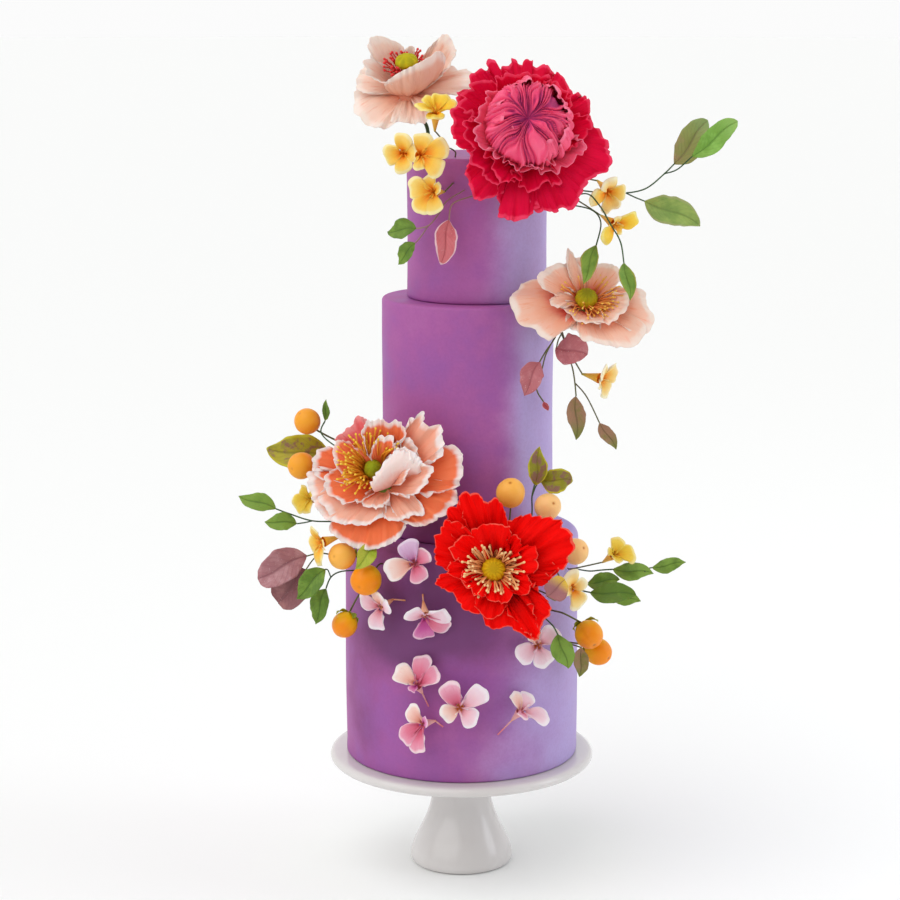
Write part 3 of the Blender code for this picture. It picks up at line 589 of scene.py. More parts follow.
def flap(gathered, place, base, rim, seed, bulge=(0, 0, 0), thick=0.8, slot=0,
         crimp=(7.0, 1.0), steps=(80, 24)):
    """A petal that stands free between a base line and a rim line of (x, y, z) points."""
    rng = np.random.default_rng(seed)
    low, high = smooth_rows(base, steps[0]), smooth_rows(rim, steps[0])
    u, v = np.linspace(0, 1, steps[0])[:, None], np.linspace(0, 1, steps[1])[None, :]
    grid = low[:, None] * (1 - v)[:, :, None] + high[:, None] * v[:, :, None]
    swell = np.sin(np.pi * v) * np.sin(np.pi * (0.12 + 0.76 * u))
    grid = grid + swell[:, :, None] * np.asarray(bulge, float)
    normal = surface_normals(grid)
    if normal[:, :, 2].mean() < 0:
        normal = -normal
    turns = np.linalg.norm(np.diff(high, axis=0), axis=1).sum() / crimp[0]
    phase = 2 * np.pi * (turns * u + 0.3 * waves_of(rng, u, 0.4 * turns))
    move = crimp[1] * (np.cos(phase) * v ** 5 + 0.8 * waves_of(rng, u, 1.6) * v)
    grid = grid + normal * move[:, :, None]
    add_blade(gathered, place, grid, normal, u, v, thick, slot, rng)


def stamens(gathered, place, count, ring, height, reach, rise, seed, slot=1, radius=0.45,
            head=0.9, sector=(0, 360)):
    """Bent filaments round the heart, each with a rounded head."""
    rng = np.random.default_rng(seed)
    for k in range(count):
        turn = math.radians(sector[0] + (sector[1] - sector[0]) * (k + rng.random()) / count)
        tip_turn = turn + rng.normal(0, 0.12)
        foot = rng.uniform(*ring)
        end, top = rng.uniform(*reach), rng.uniform(*rise)
        mid = (foot + end) / 2 - 0.1 * end
        path = [(foot * math.cos(turn), foot * math.sin(turn), height),
                (mid * math.cos(turn), mid * math.sin(turn), height + 0.62 * (top - height)),
                (end * math.cos(tip_turn), end * math.sin(tip_turn), top)]
        path = smooth_rows(path, 8)
        ahead = path[-1] - path[-2]
        ahead /= np.linalg.norm(ahead)
        path = np.concatenate([path, [path[-1] + ahead * head * s for s in (0.8, 1.5, 2.2)]])
        radii = np.array([radius] * 7 + [radius * 1.15, head, head, head * 0.45])
        share = np.linspace(0, 0.75, 8).tolist() + [0.9, 1.0, 1.0]
        tube(gathered, path, radii, 6, slot, (0.1, 0.2, 1), place,
             along=np.concatenate([np.tile(share, 6), [0, 1]]), tint=rng.random())


def boss(gathered, place, radius, centre, squash, ridges, seed, slot=2, fuzz=0.25):
    """A ribbed pod in the middle of a flower."""
    rng = np.random.default_rng(seed)
    theta = np.linspace(4, 150, 30)
    rows = [(radius * math.sin(math.radians(a)),
             centre + radius * squash * math.cos(math.radians(a))) for a in theta]
    lobes = np.zeros((60, 30))

    def shape(grid, turn, share):
        ribs = np.abs(np.cos(0.5 * ridges * turn + 0.3 * np.sin(3 * turn)))
        grow = smoothstep(0.02, 0.25, share) * (1 - smoothstep(0.75, 1.0, share))
        lobes[:] = ribs * grow
        jitter = fuzz * rng.normal(0, 1, (60, 30)) * smoothstep(0.0, 0.1, share)
        scale = 1 + (0.07 * (ribs - 0.5) * grow + 0.03 * jitter)
        middle = np.array([0, 0, centre])
        return (grid - middle) * scale[:, :, None] + middle

    turned(gathered, rows, 60, shape, place, slot, edge=lobes)


def leaf(gathered, base, tip, width, arch, face, seed, slot=0, wavy=0.6, fold=0.22, belly=0.42,
         thick=0.55, steps=(17, 24), twist=0.0, blunt=0.0):
    """A folded, pointed blade; across runs from -1 to 1 over its rib."""
    rng = np.random.default_rng(seed)
    base, tip, face = (np.asarray(p, float) for p in (base, tip, face))
    face = face / np.linalg.norm(face)
    v = np.linspace(0, 1, steps[1])
    span = np.linalg.norm(tip - base)
    sway = np.cross((tip - base) / span, face)
    path = (base + (tip - base) * v[:, None] + face * (arch * span * np.sin(np.pi * v))[:, None]
            + sway * (0.03 * span * np.sin(2 * np.pi * v))[:, None])
    side, normal = carried_frames(path, face)
    lean = np.radians(twist) * (v - 0.5)
    side, normal = (np.cos(lean)[:, None] * side + np.sin(lean)[:, None] * normal,
                    np.cos(lean)[:, None] * normal - np.sin(lean)[:, None] * side)
    peak = belly
    outline = np.where(v < peak, np.sin(0.5 * np.pi * np.clip(v / peak, 0, 1)) ** 0.8,
                       np.cos(0.5 * np.pi * np.clip((v - peak) / (1 - peak), 0, 1))
                       ** (0.95 - 0.55 * blunt))
    outline = np.maximum(outline, 0.03)
    u = np.linspace(-1, 1, steps[0])[:, None]
    ripple = 1 + 0.04 * waves_of(rng, v[None, :] + 0.2 * np.sign(u), 3.5)
    wide = width / 2 * outline[None, :] * ripple * u
    lift = (fold * np.abs(wide) ** 1.15
            + wavy * np.abs(u) ** 2 * waves_of(rng, v[None, :] + 0.3 * (u > 0), 2.6)
            - 0.35 * np.exp(-(u / 0.12) ** 2) * np.sin(np.pi * v)[None, :])
    groove = 0.10 * np.abs(u) * np.sin(2 * np.pi * (9 * v[None, :] - 3 * np.abs(u)))
    lift = lift + groove * np.sin(np.pi * v)[None, :]
    grid = path[None] + side[None] * wide[:, :, None] + normal[None] * lift[:, :, None]
    normals = surface_normals(grid)
    if (normals * normal[None]).sum() < 0:
        normals = -normals
    body = thick * (1 - 0.5 * np.abs(u)) * np.maximum(outline[None, :], 0.4)
    points, faces = shell(grid, grid - normals * body[:, :, None])
    edge = np.maximum(smoothstep(0.6, 1.0, np.abs(u)) + 0 * v[None, :],
                      smoothstep(0.9, 1.0, v)[None, :] + 0 * u)
    gathered.add(points, faces, slot, along=np.tile((v[None, :] + 0 * u).ravel(), 2),
                 across=np.tile((u + 0 * v[None, :]).ravel(), 2),
                 edge=np.tile(edge.ravel(), 2), tint=rng.random(),
                 back=np.repeat([0.0, 1.0], grid.shape[0] * grid.shape[1]))


TIERS = {"bottom": (0.0, 101.5, 104.3, 303.0, 7.0), "middle": (5.0, 73.5, 303.3, 505.0, 3.0),
         "top": (12.5, 59.5, 505.3, 625.5, 3.0)}
GAP = 0.3


def tier_side(tier, angle, height, out=GAP):
    axis_x, radius = TIERS[tier][:2]
    a = math.radians(angle)
    return np.array([axis_x + (radius + out) * math.sin(a), -(radius + out) * math.cos(a),
                     height])


def wire_root(root):
    if root[0] == "side":
        return [tier_side(*root[1:]), tier_side(*root[1:], 5.0)]
    top = TIERS[root[1]][3]
    return [np.array([*root[2], top + GAP]), np.array([*root[2], top + 5.0])]


def wire(gathered, points, radius, slot, seed=1, taper=1.0):
    path = even_rows(points, 8 * len(points))
    rng = np.random.default_rng(seed)
    radii = radius * np.linspace(1, taper, len(path)) * (1 + 0.08 * rng.random(len(path)))
    tube(gathered, path, radii, 6, slot)


def small_petals(gathered, place, petals, slots, seed, ruffle=0.5, curl=20.0, bow=14.0):
    """Broad round petals round the throat of a small flower, each (angle, reach, lift, half)."""
    for k, (middle, far, up, half) in enumerate(petals):
        half = 1.12 * math.degrees(math.asin(min(math.sin(math.radians(half)), 11.4 / far)))
        rim = [(middle - half, 0.42 * far, up + 12), (middle - 1.08 * half, 0.70 * far, up + 7),
               (middle - 0.82 * half, 0.93 * far, up + 3), (middle - 0.25 * half, far * 1.02, up),
               (middle + 0.2 * half, far * 0.99, up), (middle + 0.78 * half, 0.95 * far, up + 3),
               (middle + 1.06 * half, 0.70 * far, up + 7), (middle + half, 0.42 * far, up + 12)]
        petal(gathered, place, rim, seed * 31 + k, bow=bow, curl=curl, ruffle=ruffle,
              waves=2.0, frill=0.035, spread=0.05, thick=0.7, start=0.2, steps=(28, 12),
              base=(0, 0, 0.3 * (k % 2)), slot=slots[k])


# ------------------------------------------------------------------------------------------
# Materials of the cake
# ------------------------------------------------------------------------------------------
STEM = plain_sugar("stem_green", [(0.0, (0.030, 0.075, 0.035)), (1.0, (0.045, 0.10, 0.03))],
                   0.45, 0.25)
STEM_BROWN = plain_sugar("stem_olive", [(0.0, (0.10, 0.08, 0.03)), (1.0, (0.12, 0.13, 0.04))],
                         0.45, 0.25)
STEM_ROSE = plain_sugar("stem_rose", [(0.0, (0.22, 0.12, 0.12)), (1.0, (0.33, 0.20, 0.17))],
                        0.45, 0.25)
CALYX = plain_sugar("calyx_green", [(0.0, (0.10, 0.19, 0.02)), (1.0, (0.25, 0.38, 0.04))],
                    0.5, 0.4)
BLUSH = sugar_petal("petal_blush", (0.78, 0.17, 0.07), (0.89, 0.51, 0.37), (0.90, 0.65, 0.55),
                    (0.91, 0.77, 0.70), (0.82, 0.32, 0.19), 0.66, back=(0.82, 0.42, 0.29),
                    streaks=0.6, relief=0.7)
POPPY_BLUSH = sugar_petal("petal_peach", (0.80, 0.06, 0.05), (0.90, 0.40, 0.26),
                          (0.90, 0.58, 0.46), (0.91, 0.74, 0.66), (0.86, 0.26, 0.13), 0.82,
                          streaks=0.6, relief=0.7, stops=(0.25, 0.55, 0.9))
CORAL = sugar_petal("petal_coral", (0.90, 0.10, 0.004), (0.92, 0.15, 0.036),
                    (0.93, 0.20, 0.075), (0.92, 0.78, 0.75), (0.88, 0.12, 0.035), 0.86,
                    streaks=0.5, rim_noise=0.35)
CORAL_PALE = sugar_petal("petal_coral_pale", (0.88, 0.14, 0.04), (0.90, 0.30, 0.17),
                         (0.90, 0.44, 0.32), (0.92, 0.80, 0.77), (0.90, 0.24, 0.12), 0.80,
                         streaks=0.5, rim_noise=0.4)
CORAL_WHITE = sugar_petal("petal_coral_white", (0.88, 0.48, 0.40), (0.89, 0.66, 0.61),
                          (0.90, 0.74, 0.71), (0.92, 0.84, 0.83), (0.88, 0.46, 0.42), 0.6,
                          streaks=0.4)
CORAL_DEEP = sugar_petal("petal_coral_pink", (0.80, 0.08, 0.05), (0.80, 0.11, 0.09),
                         (0.82, 0.15, 0.16), (0.86, 0.30, 0.30), (0.76, 0.09, 0.10), 0.8)
RED = sugar_petal("petal_red", (0.16, 0.001, 0.002), (0.80, 0.002, 0.001),
                  (0.92, 0.002, 0.001), (0.94, 0.10, 0.07), (0.62, 0.001, 0.001), 0.99,
                  streaks=0.6, roughness=0.55, specular=0.05, subsurface=0.05,
                  stops=(0.30, 0.60, 0.85), rim_noise=0.04, relief=0.8)
MAGENTA = sugar_petal("petal_magenta", (0.30, 0.001, 0.012), (0.60, 0.002, 0.035),
                      (0.74, 0.002, 0.045), (0.88, 0.05, 0.13), (0.50, 0.001, 0.025), 0.96,
                      streaks=0.5, roughness=0.55, specular=0.07, subsurface=0.06,
                      rim_noise=0.12)
MAGENTA_PINK = sugar_petal("petal_magenta_pink", (0.52, 0.01, 0.06), (0.92, 0.085, 0.19),
                           (0.94, 0.13, 0.25), (0.95, 0.22, 0.35), (0.66, 0.02, 0.09), 0.93,
                           specular=0.12, roughness=0.55, rim_noise=0.2, relief=0.8)
# the ball's petals are darkened towards both side edges: painted shade between the overlapping petals
BALL_PINK = sugar_petal("petal_ball_pink", (0.40, 0.005, 0.05), (0.80, 0.05, 0.14),
                        (0.93, 0.12, 0.23), (0.95, 0.20, 0.33), (0.60, 0.015, 0.08), 0.95,
                        specular=0.12, roughness=0.55, rim_noise=0.1, relief=0.9, streaks=0.7,
                        stops=(0.2, 0.5, 0.8), sides=(0.42, 0.006, 0.06))
# FOLDS runs from dark crimson, painted shade in the valleys of the ball's pleats, to bright pink on their
# crests
FOLDS = plain_sugar("petal_folds", [(0.0, (0.22, 0.010, 0.10)), (0.28, (0.46, 0.03, 0.16)),
                                    (0.55, (0.86, 0.06, 0.18)), (1.0, (0.94, 0.12, 0.24))],
                    0.55, 0.4, spread=0.2)
YELLOW = sugar_petal("petal_yellow", (0.90, 0.26, 0.006), (0.92, 0.56, 0.03),
                     (0.92, 0.64, 0.07), (0.93, 0.78, 0.26), (0.90, 0.42, 0.02), 0.7,
                     streaks=0.4, stops=(0.24, 0.52, 0.85))
CREAM = sugar_petal("petal_cream", (0.90, 0.24, 0.006), (0.92, 0.50, 0.05),
                    (0.92, 0.66, 0.18), (0.93, 0.80, 0.42), (0.90, 0.46, 0.06), 0.66,
                    streaks=0.4, stops=(0.24, 0.56, 0.9))
IVORY = sugar_petal("petal_ivory", (0.90, 0.28, 0.01), (0.92, 0.58, 0.14), (0.92, 0.74, 0.38),
                    (0.93, 0.84, 0.58), (0.90, 0.52, 0.12), 0.6, streaks=0.4,
                    stops=(0.22, 0.5, 0.85))
MUSTARD = sugar_petal("petal_mustard", (0.70, 0.30, 0.01), (0.78, 0.50, 0.03),
                      (0.82, 0.58, 0.07), (0.86, 0.70, 0.26), (0.60, 0.34, 0.02), 0.6)
PINK = sugar_petal("petal_rose_pink", (0.56, 0.07, 0.14), (0.70, 0.18, 0.28),
                   (0.80, 0.38, 0.50), (0.89, 0.66, 0.72), (0.64, 0.12, 0.22), 0.75,
                   streaks=0.4, stops=(0.2, 0.5, 0.9))
LILAC = sugar_petal("petal_lilac", (0.50, 0.14, 0.34), (0.62, 0.36, 0.58),
                    (0.68, 0.46, 0.66), (0.78, 0.62, 0.76), (0.56, 0.28, 0.52), 0.8,
                    streaks=0.3)
MAGENTA_PALE = sugar_petal("petal_magenta_pale", (0.46, 0.04, 0.22), (0.56, 0.10, 0.33),
                           (0.70, 0.26, 0.48), (0.84, 0.55, 0.68), (0.48, 0.06, 0.25), 0.78,
                           streaks=0.4)
PEACH_WHITE = sugar_petal("petal_peach_white", (0.72, 0.22, 0.14), (0.86, 0.46, 0.38),
                          (0.89, 0.66, 0.60), (0.91, 0.80, 0.79), (0.86, 0.40, 0.33), 0.6,
                          streaks=0.3)
WHITE_PINK = sugar_petal("petal_white_pink", (0.64, 0.16, 0.20), (0.82, 0.46, 0.54),
                         (0.88, 0.66, 0.74), (0.91, 0.82, 0.86), (0.78, 0.38, 0.48), 0.6,
                         streaks=0.3)
BLUSH_BASE = plain_sugar("blush_base", [(0.0, (0.70, 0.24, 0.14)), (1.0, (0.82, 0.40, 0.27))])
POLLEN = plain_sugar("stamen_gold", [(0.0, (0.70, 0.16, 0.01)), (0.6, (0.86, 0.36, 0.02)),
                                     (1.0, (0.92, 0.62, 0.06))], 0.5, 0.5)
PEACH_ROD = plain_sugar("stamen_peach", [(0.0, (0.45, 0.06, 0.02)), (0.5, (0.80, 0.30, 0.10)),
                                         (1.0, (0.92, 0.62, 0.30))], 0.5, 0.4)
RED_ROD = plain_sugar("stamen_red", [(0.0, (0.40, 0.01, 0.01)), (0.6, (0.62, 0.02, 0.02)),
                                     (1.0, (0.80, 0.05, 0.05))], 0.5, 0.4)
ORANGE_ROD = plain_sugar("stamen_orange", [(0.0, (0.62, 0.03, 0.02)), (0.5, (0.86, 0.28, 0.06)),
                                           (1.0, (0.92, 0.58, 0.10))], 0.5, 0.4)


def pod_material(name, top, side, rib):
    s = Shader(name, 0.6, subsurface=0.05, scale=0.002, specular=0.12)
    grain = s.noise(s.place(), 900.0, 3.0, 0.7)
    factor = s.math("ADD", s.value("along"), s.math("MULTIPLY",
                    s.math("SUBTRACT", grain, 0.5), 0.5))
    colour = s.mix(s.range(factor, 0.1, 0.6), top, side)
    colour = s.mix(s.math("MULTIPLY", s.value("edge"), 0.5), colour, rib)
    s.bump(grain, 0.7, 0.0008)
    return s.finish(colour, s.range(grain, 0.3, 0.7, 0.55, 0.7))


POD_OLIVE = pod_material("pod_olive", (0.27, 0.24, 0.008), (0.62, 0.42, 0.01),
                         (0.42, 0.42, 0.01))
POD_MUSTARD = pod_material("pod_mustard", (0.50, 0.30, 0.003), (0.80, 0.42, 0.004),
                           (0.84, 0.54, 0.01))
POD_LEMON = pod_material("pod_lemon", (0.52, 0.44, 0.008), (0.66, 0.56, 0.012),
                         (0.26, 0.26, 0.01))
POD_GREEN = pod_material("pod_green", (0.30, 0.34, 0.008), (0.44, 0.40, 0.01),
                         (0.20, 0.22, 0.01))
FRESH = leaf_material("leaf_fresh", (0.11, 0.21, 0.022), (0.20, 0.34, 0.045),
                      (0.06, 0.13, 0.02))
HANGING = leaf_material("leaf_hanging", (0.13, 0.25, 0.03), (0.22, 0.36, 0.05),
                        (0.09, 0.16, 0.02), rim=(0.34, 0.34, 0.05))
PALE_GREEN = leaf_material("leaf_pale_green", (0.20, 0.32, 0.07), (0.30, 0.42, 0.10),
                           (0.14, 0.22, 0.05), rim=(0.32, 0.38, 0.14))
BRIGHT = leaf_material("leaf_bright", (0.17, 0.37, 0.045), (0.25, 0.50, 0.09),
                       (0.10, 0.22, 0.03), tip=(0.30, 0.52, 0.13))
BROWN_GREEN = leaf_material("leaf_brown_green", (0.36, 0.24, 0.13), (0.27, 0.29, 0.08),
                            (0.17, 0.14, 0.06), tip=(0.24, 0.38, 0.13))
OLIVE = leaf_material("leaf_olive", (0.26, 0.25, 0.012), (0.40, 0.36, 0.02),
                      (0.16, 0.13, 0.01), rim=(0.50, 0.46, 0.02),
                      patches=(0.24, 0.10, 0.09))
RUSTY = leaf_material("leaf_rusty", (0.20, 0.20, 0.04), (0.34, 0.19, 0.11),
                      (0.10, 0.09, 0.03), tip=(0.15, 0.24, 0.03))
LIME = leaf_material("leaf_lime", (0.30, 0.42, 0.02), (0.45, 0.50, 0.05), (0.20, 0.28, 0.02))
PLUM = leaf_material("leaf_plum", (0.38, 0.16, 0.18), (0.52, 0.28, 0.30),
                     (0.20, 0.06, 0.08), specks=0.9)
ROSE_DUST = leaf_material("leaf_rose_dusted", (0.46, 0.14, 0.16), (0.58, 0.24, 0.26),
                          (0.30, 0.06, 0.08), specks=1.0)
PLUM_DARK = leaf_material("leaf_plum_dark", (0.26, 0.10, 0.11), (0.38, 0.17, 0.17),
                          (0.18, 0.07, 0.08), specks=0.5)
PLUM_TIP = leaf_material("leaf_plum_yellow_tip", (0.36, 0.14, 0.15), (0.46, 0.22, 0.20),
                         (0.26, 0.09, 0.09), tip=(0.85, 0.58, 0.02))
ROSE = leaf_material("leaf_rose", (0.52, 0.09, 0.11), (0.62, 0.16, 0.18),
                     (0.36, 0.05, 0.06), rim=(0.78, 0.50, 0.56), specks=0.6)
ICING = icing_material("icing_violet", (0.33, 0.10, 0.36), (0.155, 0.045, 0.15),
                       (0.45, 0.35, 0.66), (0.40, 0.105, 0.34))
CERAMIC = ceramic_material()
PEEL = peel_material("peel_orange", (0.88, 0.36, 0.02), (0.88, 0.26, 0.004))
PEEL_PEACH = peel_material("peel_peach", (0.95, 0.47, 0.08), (0.93, 0.34, 0.012))
PEEL_CREAM = peel_material("peel_cream", (0.94, 0.56, 0.22), (0.94, 0.66, 0.32))
PEEL_GOLD = peel_material("peel_gold", (0.91, 0.27, 0.001), (0.93, 0.58, 0.001))

# ------------------------------------------------------------------------------------------
# Stand and tiers
# ------------------------------------------------------------------------------------------

STAND_ROWS = ([(2, 104), (100, 104), (109, 104), (112.4, 103.6), (114.6, 102.2), (115.7, 99.6),
               (114.7, 97.2), (111.4, 95.3), (100, 94.7), (60, 94.2), (37, 93.8), (31, 93.0),
               (26.6, 91.0), (25.2, 87), (24.7, 80), (24.8, 72), (25.6, 63), (26.9, 55),
               (28.6, 48.5), (30.6, 42.5), (32.8, 37), (35.2, 31.8), (37.6, 27), (39.9, 22.4),
               (41.9, 18), (43.5, 13.6), (44.6, 9.2), (45.0, 5.6), (44.6, 2.8), (43.4, 1.0),
               (41.5, 0.2), (40.6, 0.0), (2, 0.0)])


def dense_rows(rows, count):
    """More rows along the same profile, with its straight stretches kept straight."""
    rows = np.asarray(rows, float)
    length = np.concatenate([[0], np.cumsum(np.linalg.norm(np.diff(rows, axis=0), axis=1))])
    where = np.union1d(np.linspace(0, length[-1], count), length)
    return np.stack([np.interp(where, length, column) for column in rows.T], axis=1)


def build_stand():
    stand = Gathered()
    turned(stand, dense_rows(smooth_part(STAND_ROWS), 50), 96)
    stand.piece("stand_ceramic", [CERAMIC], "cake_stand", "ceramic")


def smooth_part(rows):
    """The turned profile with its curved stretch from the rim to the foot smoothed."""
    flat, curved, last = rows[:2], rows[2:-2], rows[-2:]
    return flat + [tuple(row) for row in smooth_rows(curved, 3 * len(curved))] + last


# clouds painted on the icing: tier, angle, height, half width in degrees, half height, channel, strength;
# edge clouds are painted shade under the flowers and at the tier joints, along clouds are lavender that is
# partly airbrush and partly painted light, tint clouds are rose
CLOUDS = [
    ("bottom", -40, 236, 22, 34, "edge", 0.55), ("bottom", -27, 222, 14, 26, "edge", 0.75),
    ("bottom", -6, 285, 30, 44, "edge", 0.9), ("bottom", -14, 240, 26, 30, "edge", 0.7),
    ("bottom", 8, 225, 20, 30, "edge", 0.55), ("bottom", -52, 140, 14, 30, "edge", 0.35),
    ("middle", -8, 322, 60, 22, "edge", 0.75), ("middle", 44, 452, 16, 18, "edge", 0.5),
    ("top", 20, 590, 40, 22, "edge", 0.45), ("top", 60, 512, 20, 18, "edge", 0.6),
    ("bottom", 12, 122, 18, 26, "along", 0.25), ("bottom", -20, 120, 26, 26, "tint", 0.6),
    ("middle", -30, 400, 30, 60, "tint", 0.7), ("top", -20, 530, 26, 30, "tint", 0.6),
    ("bottom", 30, 170, 16, 34, "along", 0.35), ("bottom", 22, 108, 10, 12, "along", 0.35),
    # the lavender cloud on the middle tier's right is partly painted light, lifting that side where it lies
    # in shade
    ("bottom", -64, 190, 26, 110, "edge", 0.50), ("middle", 62, 400, 24, 120, "along", 0.8),
    ("bottom", 128, 160, 40, 60, "tint", 0.6), ("middle", -140, 380, 50, 60, "tint", 0.5),
]
# lavender comes in over these azimuths on each tier's right side: partly airbrush, partly painted cool
# reflected light
LAVENDER_SIDE = {"bottom": (4, 66), "middle": (10, 58), "top": (-8, 44)}


def build_tier(tier, node):
    axis_x, radius, foot, top, edge = TIERS[tier]
    rng = np.random.default_rng(len(tier) * 7)
    turn_steps = np.radians(np.linspace(0, 90, 9))
    rows = [(1.0, top), (radius * 0.5, top), (radius - edge - 6, top)]
    rows += [(radius - edge + edge * math.sin(a), top - edge + edge * math.cos(a))
             for a in turn_steps]
    rows += [(radius, top - edge - 4), (radius, foot + 3), (radius - 0.4, foot + 1),
             (radius - 1.4, foot), (radius * 0.5, foot), (1.0, foot)]
    rows = dense_rows(rows, 44)
    phases = rng.random((4, 3))

    def shape(grid, turn, share):
        height = grid[:, :, 2]
        swell = 0
        for k, (first, second, third) in enumerate(phases):
            swell = swell + np.sin((k + 2) * turn + 6.28 * first + height / (26 + 9 * k)
                                   + 6.28 * second) * (0.16 - 0.03 * k) * (0.6 + third)
        side = smoothstep(radius * 0.6, radius * 0.95, np.hypot(grid[:, :, 0], grid[:, :, 1]))
        inside = smoothstep(foot, foot + 6, height)
        push = 1 + (swell - 0.25) * side * inside / radius
        return np.stack([grid[:, :, 0] * push, grid[:, :, 1] * push, height], axis=2)

    sides = 128
    turn = np.degrees(np.linspace(0, 2 * np.pi, sides, endpoint=False))[:, None]
    azimuth = (turn + 90 + 180) % 360 - 180
    height = rows[:, 1][None, :]
    # along: lavender, partly painted cool reflected light; edge: painted shade; tint: rose
    values = {"along": smoothstep(*LAVENDER_SIDE[tier], azimuth)
              * (1 - smoothstep(112, 150, azimuth)) + 0 * height,
              "edge": 0 * azimuth + 0 * height, "tint": 0 * azimuth + 0 * height}
    for where, angle, level, wide, tall, channel, strength in CLOUDS:
        if where == tier:
            apart = (azimuth - angle + 180) % 360 - 180
            values[channel] = values[channel] + strength * np.exp(
                -(apart / wide) ** 2 - ((height - level) / tall) ** 2)
    made = Gathered()
    turned(made, rows, sides, shape, **values)
    made.points = [made.points[0] + [axis_x, 0, 0]]
    made.piece(f"{node}_icing", [ICING], node, "icing")


